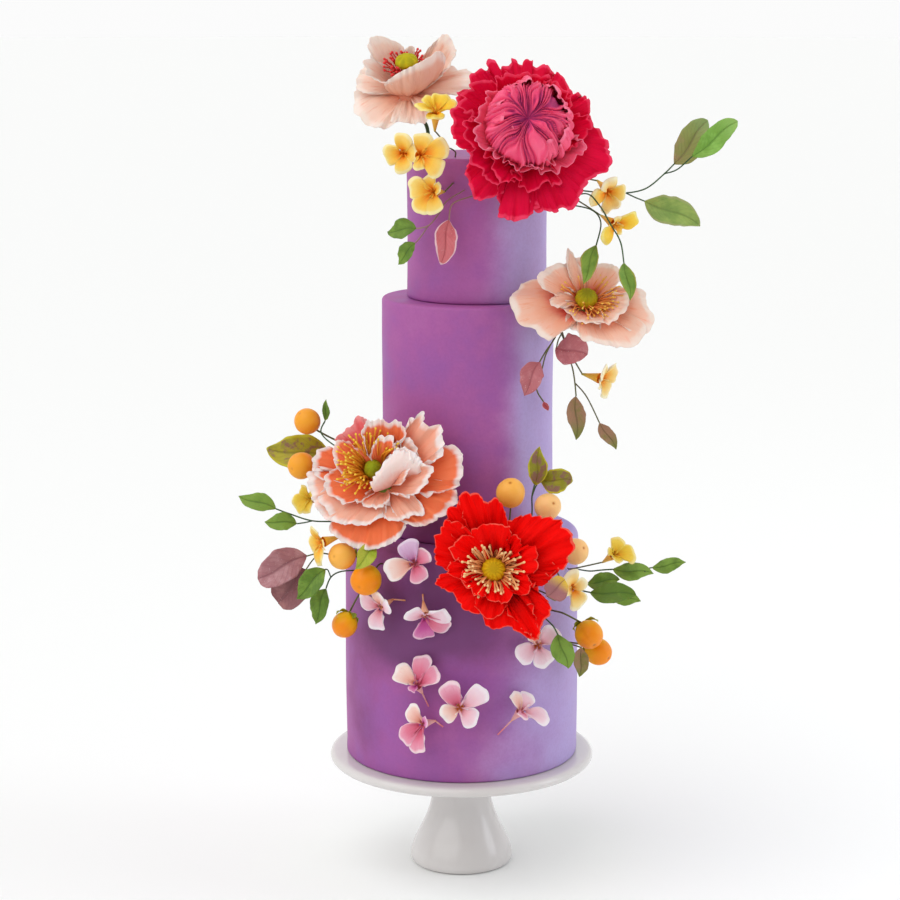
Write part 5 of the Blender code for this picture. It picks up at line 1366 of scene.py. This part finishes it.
# mouth, facing, tube's foot (angle, height), petals
FLORETS = {
    "floret_1": ((-39, -104, 296), (-8, 10), (-21.0, 293),
                 [(41, 17, 22, 34), (109, 22, 18, 36), (197, 26, 16, 34), (292, 18, 22, 34)]),
    "floret_2": ((-66, -97, 258), (-42, -14), (-27.5, 261),
                 [(22, 18, 24, 30), (76, 18, 20, 30), (158, 22, 18, 34), (255, 22, 20, 42)]),
    "floret_3": ((-31, -111, 255), (8, -36), (-18.7, 268),
                 [(19, 22, 20, 34), (141, 22, 20, 34), (270, 25, 18, 34), (328, 24, 18, 32)]),
    "floret_4": ((-37, -107, 191), (-22, 42), (-15.9, 171),
                 [(30, 24, 22, 32), (84, 26, 22, 36), (155, 24, 22, 36), (247, 10, 34, 34)]),
    "floret_5": ((-2, -112, 174), (0, 6), (-0.7, 169),
                 [(40, 29, 18, 36), (118, 27, 18, 34), (200, 18, 22, 36), (320, 19, 22, 38)]),
    "floret_6": ((-31, -110, 160), (-42, 4), (-8.9, 154),
                 [(30, 15, 36, 28), (133, 20, 22, 36), (221, 25, 22, 32), (272, 26, 20, 32)]),
    "floret_7": ((48, -103, 167), (42, 44), (16.9, 146),
                 [(40, 19, 24, 32), (99, 18, 26, 30), (228, 15, 34, 32), (317, 25, 18, 28)]),
    "floret_8": ((63, -91, 223), (12, 2), (39.2, 219),
                 [(44, 22, 20, 36), (110, 17, 22, 30), (204, 23, 20, 32), (288, 20, 20, 36)]),
}
# root, stem, tip, width, arch; leaves: wire, tip, width, arch
SPRIGS = {
    "sprig_top_right": dict(
        face=(0.1, -1, 0.35), root=("side", "top", 78, 598),
        stem=[(95, -18, 597), (119, -22, 595), (137, -24, 595), (154, -24, 599),
              (169, -23, 611), (177, -22, 619)], tip=(205, -18, 655), width=23, arch=0.10,
        leaves=[([(169, -23, 611), (179, -29, 615), (191, -32, 626)], (228, -34, 655), 18, 0.1),
                ([(137, -24, 595), (144, -30, 592), (152, -33, 589)], (198, -40, 569), 24, 0.1)]),
    "sprig_hanging_short": dict(
        face=(-0.3, -1, 0.3), root=("side", "top", 50, 592),
        stem=[(84, -46, 588), (106, -54, 584), (114, -60, 574), (110, -68, 556)],
        tip=(99, -84, 526), width=14, arch=0.06, leaves=[]),
    "sprig_hanging_long": dict(
        face=(0.3, -1, 0.3), root=("side", "top", 42, 584),
        stem=[(80, -54, 590), (101, -64, 598), (112, -72, 589), (121, -78, 574),
              (129, -80, 560), (132, -80, 543)],
        tip=(137, -88, 513), width=13, arch=0.06, leaves=[]),
    "sprig_top_left": dict(
        face=(-0.3, -1, 0.4), root=("side", "top", -11, 600),
        stem=[(-13, -67, 592), (-20, -68, 581), (-28, -66, 572), (-38, -62, 569)],
        tip=(-62, -52, 565), width=17, arch=0.08,
        leaves=[([(-28, -66, 572), (-34, -64, 563), (-39, -62, 557)], (-53, -58, 539), 14, 0.08)]),
    "leaf_rose_top": dict(
        face=(0.2, -1, 0.2), root=("side", "top", -4, 596),
        stem=[(-8, -68, 590), (-11, -71, 577)], tip=(-18, -76, 541), width=18, arch=0.12,
        leaves=[]),
    "sprig_middle_right": dict(
        face=(0.1, -1, 0.3), root=("side", "middle", 76, 486),
        stem=[(84, -42, 480), (88, -50, 465), (92, -58, 452), (94, -60, 440), (95, -62, 429)],
        tip=(95, -67, 393), width=15, arch=0.08,
        leaves=[([(94, -60, 440), (104, -58, 428), (115, -59, 406)], (129, -63, 384), 11, 0.08),
                ([(84, -42, 480), (80, -58, 476), (78, -68, 471)], (103, -80, 467), 25, 0.12)]),
    "leaf_plum_middle": dict(
        face=(-0.2, -1, 0.2), root=("side", "middle", 70, 488),
        stem=[(78, -58, 480), (69, -70, 468), (64, -74, 460)], tip=(51, -82, 433), width=19, arch=0.1,
        leaves=[]),
    "tendril_middle": dict(
        face=(0, -1, 0.2), root=("side", "middle", 74, 490),
        stem=[(80, -54, 484), (74, -64, 474), (69, -66, 464), (66, -62, 451), (61, -62, 442), (63, -60, 432),
              (68, -59, 424)],
        tip=(72, -59, 416), width=5, arch=0.0, leaves=[]),
    "sprig_left_high": dict(
        face=(0.2, -1, 0.1), root=("side", "middle", -44, 362),
        stem=[(-84, -66, 377), (-106, -68, 388), (-118, -62, 398), (-115, -56, 407)],
        tip=(-114, -54, 425), width=6, arch=0.05, leaves=[]),
    "leaf_olive_left": dict(
        face=(-0.1, -1, 0.3), root=("side", "middle", -75, 362),
        stem=[(-90, -24, 366), (-112, -26, 369)], tip=(-167, -22, 377), width=29, arch=0.12,
        leaves=[]),
    "sprig_left_long": dict(
        face=(-0.1, -1, 0.45), root=("over", "bottom", (-84, -48)),
        stem=[(-100, -58, 320), (-126, -64, 323), (-145, -60, 328), (-157, -58, 332)],
        tip=(-189, -50, 341), width=15, arch=0.08,
        leaves=[([(-126, -64, 323), (-132, -66, 322), (-139, -66, 321)], (-166, -68, 323), 15,
                 0.1)]),
    "sprig_left_plum": dict(
        face=(-0.2, -1, 0.2), root=("side", "bottom", -58, 290),
        stem=[(-108, -66, 294), (-120, -68, 296), (-131, -66, 293)], tip=(-172, -76, 276),
        width=27, arch=0.12,
        leaves=[([(-120, -68, 296), (-126, -68, 290), (-132, -66, 281)], (-156, -64, 252), 34,
                 0.08)]),
    "sprig_left_green": dict(
        face=(-0.2, -1, 0.2), root=("side", "bottom", -54, 280),
        stem=[(-102, -76, 282), (-110, -84, 279), (-114, -86, 270)], tip=(-123, -90, 240),
        width=16, arch=0.1,
        leaves=[([(-110, -84, 279), (-112, -88, 286), (-114, -92, 288)], (-138, -98, 264), 19,
                 0.1)]),
    "leaf_bract_left": dict(
        face=(0.1, -1, 0.4), root=("over", "bottom", (-66, -78)),
        stem=[(-72, -98, 310)], tip=(-88, -116, 294), width=15, arch=0.1, leaves=[]),
    "sprig_right_olive": dict(
        face=(0.1, -1, 0.2), root=("over", "bottom", (54, -78)),
        stem=[(58, -82, 332), (58, -84, 348), (60, -84, 358)], tip=(64, -86, 391), width=16,
        arch=0.08,
        leaves=[([(58, -84, 348), (61, -82, 356), (65, -80, 361)], (92, -78, 361), 20, 0.15)]),
    "leaf_plum_round": dict(
        face=(0.1, -1, 0.1), root=("side", "bottom", 37, 268),
        stem=[(76, -108, 268), (76, -130, 271), (69, -143, 278)], tip=(83, -147, 293), width=19,
        arch=0.12,
        leaves=[]),
    "sprig_right_long": dict(
        face=(0.1, -1, 0.3), root=("side", "bottom", 70, 274),
        stem=[(109, -50, 276), (120, -54, 278), (128, -56, 279)], tip=(163, -50, 274), width=15,
        arch=0.1,
        leaves=[([(155, -53.6, 276), (158, -50, 278), (162, -48, 278.5)], (191, -43, 282), 12,
                 0.08)]),
    "sprig_right_green": dict(
        face=(0.1, -1, 0.45), root=("side", "bottom", 66, 262),
        stem=[(102, -62, 262), (108, -72, 263)], tip=(146, -78, 262), width=17, arch=0.1,
        leaves=[([(102, -62, 262), (106, -62, 268)], (134, -56, 270), 15, 0.1),
                ([(102, -62, 262), (118, -58, 257), (127, -58, 256)], (152, -56, 251), 12,
                 0.08)]),
    "leaf_green_low": dict(
        face=(0.1, -1, 0.1), root=("side", "bottom", 36, 250),
        stem=[(74, -112, 246), (79, -114, 238)], tip=(88, -112, 208), width=18, arch=0.12,
        leaves=[]),
    "leaf_olive_low": dict(
        face=(0.2, -1, 0.0), root=("side", "bottom", 51, 220),
        stem=[(92, -84, 221), (100, -94, 221)], tip=(98, -99, 197), width=13, arch=0.08,
        leaves=[]),
}

THROAT_ORANGE = plain_sugar("throat_orange", [(0.0, (0.86, 0.24, 0.01)),
                                              (0.30, (0.90, 0.30, 0.012)),
                                              (0.5, (0.90, 0.44, 0.03)),
                                              (0.85, (0.84, 0.52, 0.08)),
                                              (1.0, (0.42, 0.38, 0.05))], 0.45, 0.3)
THROAT_PINK = plain_sugar("throat_pink", [(0.0, (0.66, 0.20, 0.22)), (0.30, (0.74, 0.22, 0.26)),
                                          (0.5, (0.74, 0.30, 0.32)), (0.8, (0.80, 0.42, 0.40)),
                                          (1.0, (0.80, 0.36, 0.22))], 0.5, 0.3)
THROAT_PEACH = plain_sugar("throat_peach", [(0.0, (0.80, 0.32, 0.14)), (0.30, (0.86, 0.38, 0.18)),
                                            (0.5, (0.84, 0.45, 0.30)), (0.8, (0.84, 0.42, 0.26)),
                                            (1.0, (0.84, 0.32, 0.12))], 0.5, 0.3)
# looks of each small flower: its petals' materials, how they curl; a floret's throat too
BLOSSOM_LOOKS = {
    "blossom_top_1": ([YELLOW], 34), "blossom_top_2": ([CREAM], 40),
    "blossom_top_3": ([CREAM], 30), "blossom_top_4": ([CREAM], 30),
    "blossom_right_1": ([IVORY, CREAM], 34), "blossom_right_2": ([YELLOW, CREAM], 34),
    "blossom_middle": ([IVORY], 30), "blossom_left_1": ([CREAM], 30),
    "blossom_left_2": ([MUSTARD], 30), "blossom_low_right": ([IVORY], 34),
    "blossom_far_right": ([MUSTARD], 34),
}
FLORET_LOOKS = {
    "floret_1": ([PINK, LILAC, PEACH_WHITE, PINK], THROAT_PINK, 18),
    "floret_2": ([WHITE_PINK, PEACH_WHITE, WHITE_PINK, WHITE_PINK], THROAT_PEACH, 22),
    "floret_3": ([WHITE_PINK, WHITE_PINK, MAGENTA_PALE, PINK], THROAT_PEACH, 20),
    "floret_4": ([PINK, PINK, PEACH_WHITE, MAGENTA_PALE], THROAT_PINK, 20),
    "floret_5": ([WHITE_PINK, PINK, PEACH_WHITE, WHITE_PINK], THROAT_PEACH, 20),
    "floret_6": ([MAGENTA_PALE, PEACH_WHITE, PINK, PINK], THROAT_PINK, 22),
    "floret_7": ([WHITE_PINK, PEACH_WHITE, PINK, WHITE_PINK], THROAT_PINK, 22),
    "floret_8": ([WHITE_PINK, PEACH_WHITE, WHITE_PINK, WHITE_PINK], THROAT_PEACH, 20),
}
def trumpet(gathered, place, tube_length, mouth, slot):
    """The hollow tube of a small flower, from its floor over the mouth to its foot."""
    rows = smooth_rows([(0.3, -0.5 * tube_length), (1.5, -0.42 * tube_length),
                        (0.66 * mouth, -2.2), (0.9 * mouth, 0.6), (mouth, 1.6),
                        (mouth, 1.0), (0.82 * mouth, -2.0), (0.6 * mouth, -0.4 * tube_length),
                        (1.5, -0.75 * tube_length), (0.8, -tube_length)], 26)
    turned(gathered, rows, 20, None, place, slot)


def small_bloom(node, place, petals, looks, curl, throat, stem, length, wire_points, seed,
                slot, mouth):
    """One small flower: petals, hollow tube and the wire behind it."""
    made = Gathered()
    palette = list(dict.fromkeys(looks))
    slots = [palette.index(looks[k % len(looks)]) for k in range(len(petals))]
    small_petals(made, place, petals, slots, seed, ruffle=1.3, curl=curl, bow=20)
    trumpet(made, place, length, mouth, len(palette))
    wire(made, wire_points + [place.out([0, 0, 0.5 - length])], 0.6, len(palette) + 1, seed)
    made.piece(f"{node}_bloom", palette + [throat, stem], node, slot)


def build_blossoms():
    for number, (node, entry) in enumerate(BLOSSOMS.items()):
        mouth, facing, root, way, petals = entry
        looks, curl = BLOSSOM_LOOKS[node]
        place = Place(mouth, heading(*facing))
        points = wire_root(root) + [np.array(p, float) for p in way]
        small_bloom(node, place, petals, looks, curl, THROAT_ORANGE, STEM_BROWN, 15.0, points,
                    300 + number, "sugar_yellow", 4.4)


def build_florets():
    for number, (node, entry) in enumerate(FLORETS.items()):
        mouth, facing, (angle, height), petals = entry
        looks, throat, curl = FLORET_LOOKS[node]
        place = Place(mouth, heading(*facing))
        foot = tier_side("bottom", angle, height, 1.2)
        length = max(0.75 * np.linalg.norm(foot - np.array(mouth, float)), 7.0)
        small_bloom(node, place, petals, looks, curl, throat, throat, min(length, 13.0), [foot],
                    500 + number, "sugar_pink", 4.0)


# peel and crease (turn, depth) of each fruit, and how many bracts it has at its wire
FRUIT_LOOKS = {
    "kumquat_left_1": (PEEL, 0.0, 0), "kumquat_left_2": (PEEL, 1.0, 0),
    "kumquat_left_3": (PEEL_PEACH, 0.0, 1), "kumquat_left_4": (PEEL_GOLD, 0.0, 0),
    "kumquat_left_5": (PEEL_GOLD, 0.3, 4), "kumquat_right_1": (PEEL_PEACH, 0.0, 0),
    "kumquat_right_2": (PEEL_CREAM, 0.0, 1), "kumquat_right_3": (PEEL_CREAM, 0.0, 1),
    "kumquat_right_4": (PEEL_GOLD, 1.2, 3), "kumquat_right_5": (PEEL_GOLD, 0.0, 2),
}


def build_kumquats():
    for number, (node, entry) in enumerate(KUMQUATS.items()):
        centre, radius, free_end, root, way = entry
        material, crease, bracts = FRUIT_LOOKS[node]
        rng = np.random.default_rng(900 + number)
        axis = heading(*free_end)
        place = Place(centre, axis)
        stations = np.radians(np.linspace(3, 177, 32))
        rows = [(radius * math.sin(a), 1.05 * radius * math.cos(a)) for a in stations]
        phase = rng.random(6) * 6.28
        dots = np.zeros((48, 32))

        def shape(grid, turn, share):
            a = np.pi * share
            uneven = (0.012 * np.sin(2 * turn + phase[0]) + 0.010 * np.sin(3 * turn + phase[1])
                      + 0.012 * np.sin(2 * a + phase[2]) + 0.006 * np.sin(7 * turn + phase[3]))
            dimple = -0.05 * np.exp(-(a / 0.16) ** 2) - 0.06 * np.exp(-((np.pi - a) / 0.3) ** 2)
            groove = -0.045 * crease * np.exp(-(np.sin(turn + phase[4]) / 0.09) ** 2)
            dots[:] = (0.9 if "right" in node else 0.35) * np.exp(-(a / 0.07) ** 2) + 0 * turn
            return grid * (1 + uneven * np.sin(a) + dimple + groove * np.sin(a))[:, :, None]

        made = Gathered()
        turned(made, rows, 48, shape, place, 0, edge=dots)
        start = np.array(centre) - axis * radius * 0.98
        wire(made, wire_root(root) + [np.array(p, float) for p in way] + [start], 0.75, 1,
             number)
        for k in range(bracts):
            turn = math.radians(360 * k / max(bracts, 1) + 40 + rng.uniform(-15, 15))
            side = place.turn @ np.array([math.cos(turn), math.sin(turn), 0])
            foot = np.array(centre) - axis * radius * 1.04
            tip = np.array(centre) + side * radius * 1.03 - axis * radius * 0.38
            leaf(made, foot, tip, 6.5, 0.25, side - 0.6 * axis, 40 * number + k, 2, wavy=0.3,
                 steps=(11, 14))
        made.piece(f"{node}_fruit", [material, STEM_BROWN, LIME], node, "kumquat")


# leaf looks along each sprig: its end leaf, then its side leaves; then its wire
SPRIG_LOOKS = {
    "sprig_top_right": ([BROWN_GREEN, BRIGHT, PALE_GREEN], STEM),
    "sprig_hanging_short": ([HANGING], STEM), "sprig_hanging_long": ([HANGING], STEM),
    "sprig_top_left": ([FRESH, FRESH], STEM_ROSE), "leaf_rose_top": ([ROSE], STEM_ROSE),
    "sprig_middle_right": ([RUSTY, RUSTY, ROSE_DUST], STEM_BROWN),
    "leaf_plum_middle": ([ROSE_DUST], STEM_BROWN), "tendril_middle": ([ROSE], STEM_BROWN),
    "sprig_left_high": ([FRESH], STEM), "leaf_olive_left": ([OLIVE], STEM_BROWN),
    "sprig_left_long": ([FRESH, FRESH], STEM), "sprig_left_plum": ([PLUM, PLUM_DARK], STEM_BROWN),
    "sprig_left_green": ([FRESH, FRESH], STEM), "leaf_bract_left": ([LIME], STEM),
    "sprig_right_olive": ([OLIVE, OLIVE], STEM), "leaf_plum_round": ([PLUM_TIP], STEM_BROWN),
    "sprig_right_long": ([FRESH, FRESH], STEM),
    "sprig_right_green": ([FRESH, FRESH, FRESH], STEM),
    "leaf_green_low": ([FRESH], STEM), "leaf_olive_low": ([RUSTY], STEM_BROWN),
}
# leaves with a rounded end, 1 being the roundest
BLUNT = {("sprig_left_plum", 0): 1.0, ("sprig_left_plum", 1): 1.0, ("leaf_plum_round", 0): 1.0,
         ("sprig_top_right", 0): 0.7, ("sprig_top_right", 1): 0.9, ("sprig_top_right", 2): 0.3,
         ("sprig_right_green", 0): 0.6, ("sprig_middle_right", 2): 0.7,
         ("leaf_rose_top", 0): 0.5, ("sprig_right_olive", 1): 0.5, ("leaf_olive_left", 0): 0.3}
PLUM_LEAVES = ("leaf_rose_top", "sprig_middle_right", "leaf_plum_middle", "tendril_middle",
               "sprig_left_plum", "leaf_plum_round")


def build_sprigs():
    for number, (node, sprig) in enumerate(SPRIGS.items()):
        looks, stem = SPRIG_LOOKS[node]
        made = Gathered()
        points = wire_root(sprig["root"]) + [np.array(p, float) for p in sprig["stem"]]
        wire(made, points, 0.6, len(looks), number)
        blades = [(points[-1:], sprig["tip"], sprig["width"], sprig["arch"])] + [
            ([np.array(p, float) for p in way], tip, width, arch)
            for way, tip, width, arch in sprig["leaves"]]
        for k, (way, tip, width, arch) in enumerate(blades):
            if len(way) > 1:
                wire(made, way, 0.55, len(looks), number + 7 * k)
            leaf(made, way[-1], tip, width * 1.04, arch, sprig["face"], 60 * number + k, k,
                 wavy=0.05 * width, blunt=BLUNT.get((node, k), 0.0))
        made.piece(f"{node}_leaves", looks + [stem], node,
                   "leaf_plum" if node in PLUM_LEAVES else "leaf_green")


build_blossoms()
build_florets()
build_kumquats()
build_sprigs()

# ------------------------------------------------------------------------------------------
# Stage
# ------------------------------------------------------------------------------------------
FLOOR_RADIUS = 30.0


def build_floor():
    data = bpy.data.meshes.new("floor")
    turn = np.linspace(0, 2 * np.pi, 96, endpoint=False)
    points = [(FLOOR_RADIUS * math.cos(a), FLOOR_RADIUS * math.sin(a), 0.0) for a in turn]
    data.from_pydata(points, [], [list(range(96))])
    s = Shader("floor_white", 0.7, specular=0.15)
    s.main.inputs["Base Color"].default_value = (0.912, 0.920, 0.918, 1)
    data.materials.append(s.material)
    made = bpy.data.objects.new("floor", data)
    bpy.context.collection.objects.link(made)


def area_light(name, location, target, size, power, colour):
    data = bpy.data.lights.new(name, "AREA")
    data.shape = "RECTANGLE"
    data.size, data.size_y = size
    data.energy = power
    data.color = colour
    made = bpy.data.objects.new(name, data)
    made.location = location
    aim = Vector(target) - Vector(location)
    made.rotation_euler = aim.to_track_quat("-Z", "Y").to_euler()
    bpy.context.collection.objects.link(made)


def studio_world():
    """Near-white behind and to the sides, dimmer behind the camera and overhead."""
    world = bpy.data.worlds.new("studio")
    world.use_nodes = True
    tree = world.node_tree
    place = tree.nodes.new("ShaderNodeTexCoord")
    split = tree.nodes.new("ShaderNodeSeparateXYZ")
    ramp = tree.nodes.new("ShaderNodeMapRange")
    ramp.interpolation_type = "SMOOTHSTEP"
    for socket, value in zip(ramp.inputs[1:5], (-0.7, 0.7, 0.42, 0.97)):
        socket.default_value = value
    tree.links.new(place.outputs["Generated"], split.inputs[0])
    tree.links.new(split.outputs["Y"], ramp.inputs[0])
    tree.links.new(ramp.outputs[0], tree.nodes["Background"].inputs[1])
    tree.nodes["Background"].inputs[0].default_value = (1.0, 1.0, 1.0, 1)
    bpy.context.scene.world = world


def sun(direction, angle, power, colour):
    data = bpy.data.lights.new("sun", "SUN")
    data.angle = math.radians(angle)
    data.energy = power
    data.color = colour
    made = bpy.data.objects.new("sun", data)
    made.rotation_euler = Vector(direction).to_track_quat("-Z", "Y").to_euler()
    bpy.context.collection.objects.link(made)


def build_stage():
    build_floor()
    studio_world()
    sun((0.55, 0.55, -0.85), 70, 1.55, (1.0, 0.99, 0.97))
    area_light("side", (1.9, -0.3, 1.0), (0, 0, 0.35), (0.8, 1.4), 9, (0.90, 0.94, 1.0))
    camera = bpy.data.objects.new("camera", bpy.data.cameras.new("camera"))
    camera.data.lens = 96.5
    camera.data.sensor_width = 36
    camera.data.clip_end = 200
    camera.location = (-0.0102, -2.0457, 0.7727)
    camera.rotation_euler = (math.pi / 2 - 0.1938, 0, 0)
    bpy.context.collection.objects.link(camera)
    bpy.context.scene.camera = camera
    view = bpy.context.scene.view_settings
    view.view_transform = "Standard"
    view.look = "None"
    view.exposure = 0.0


build_stage()
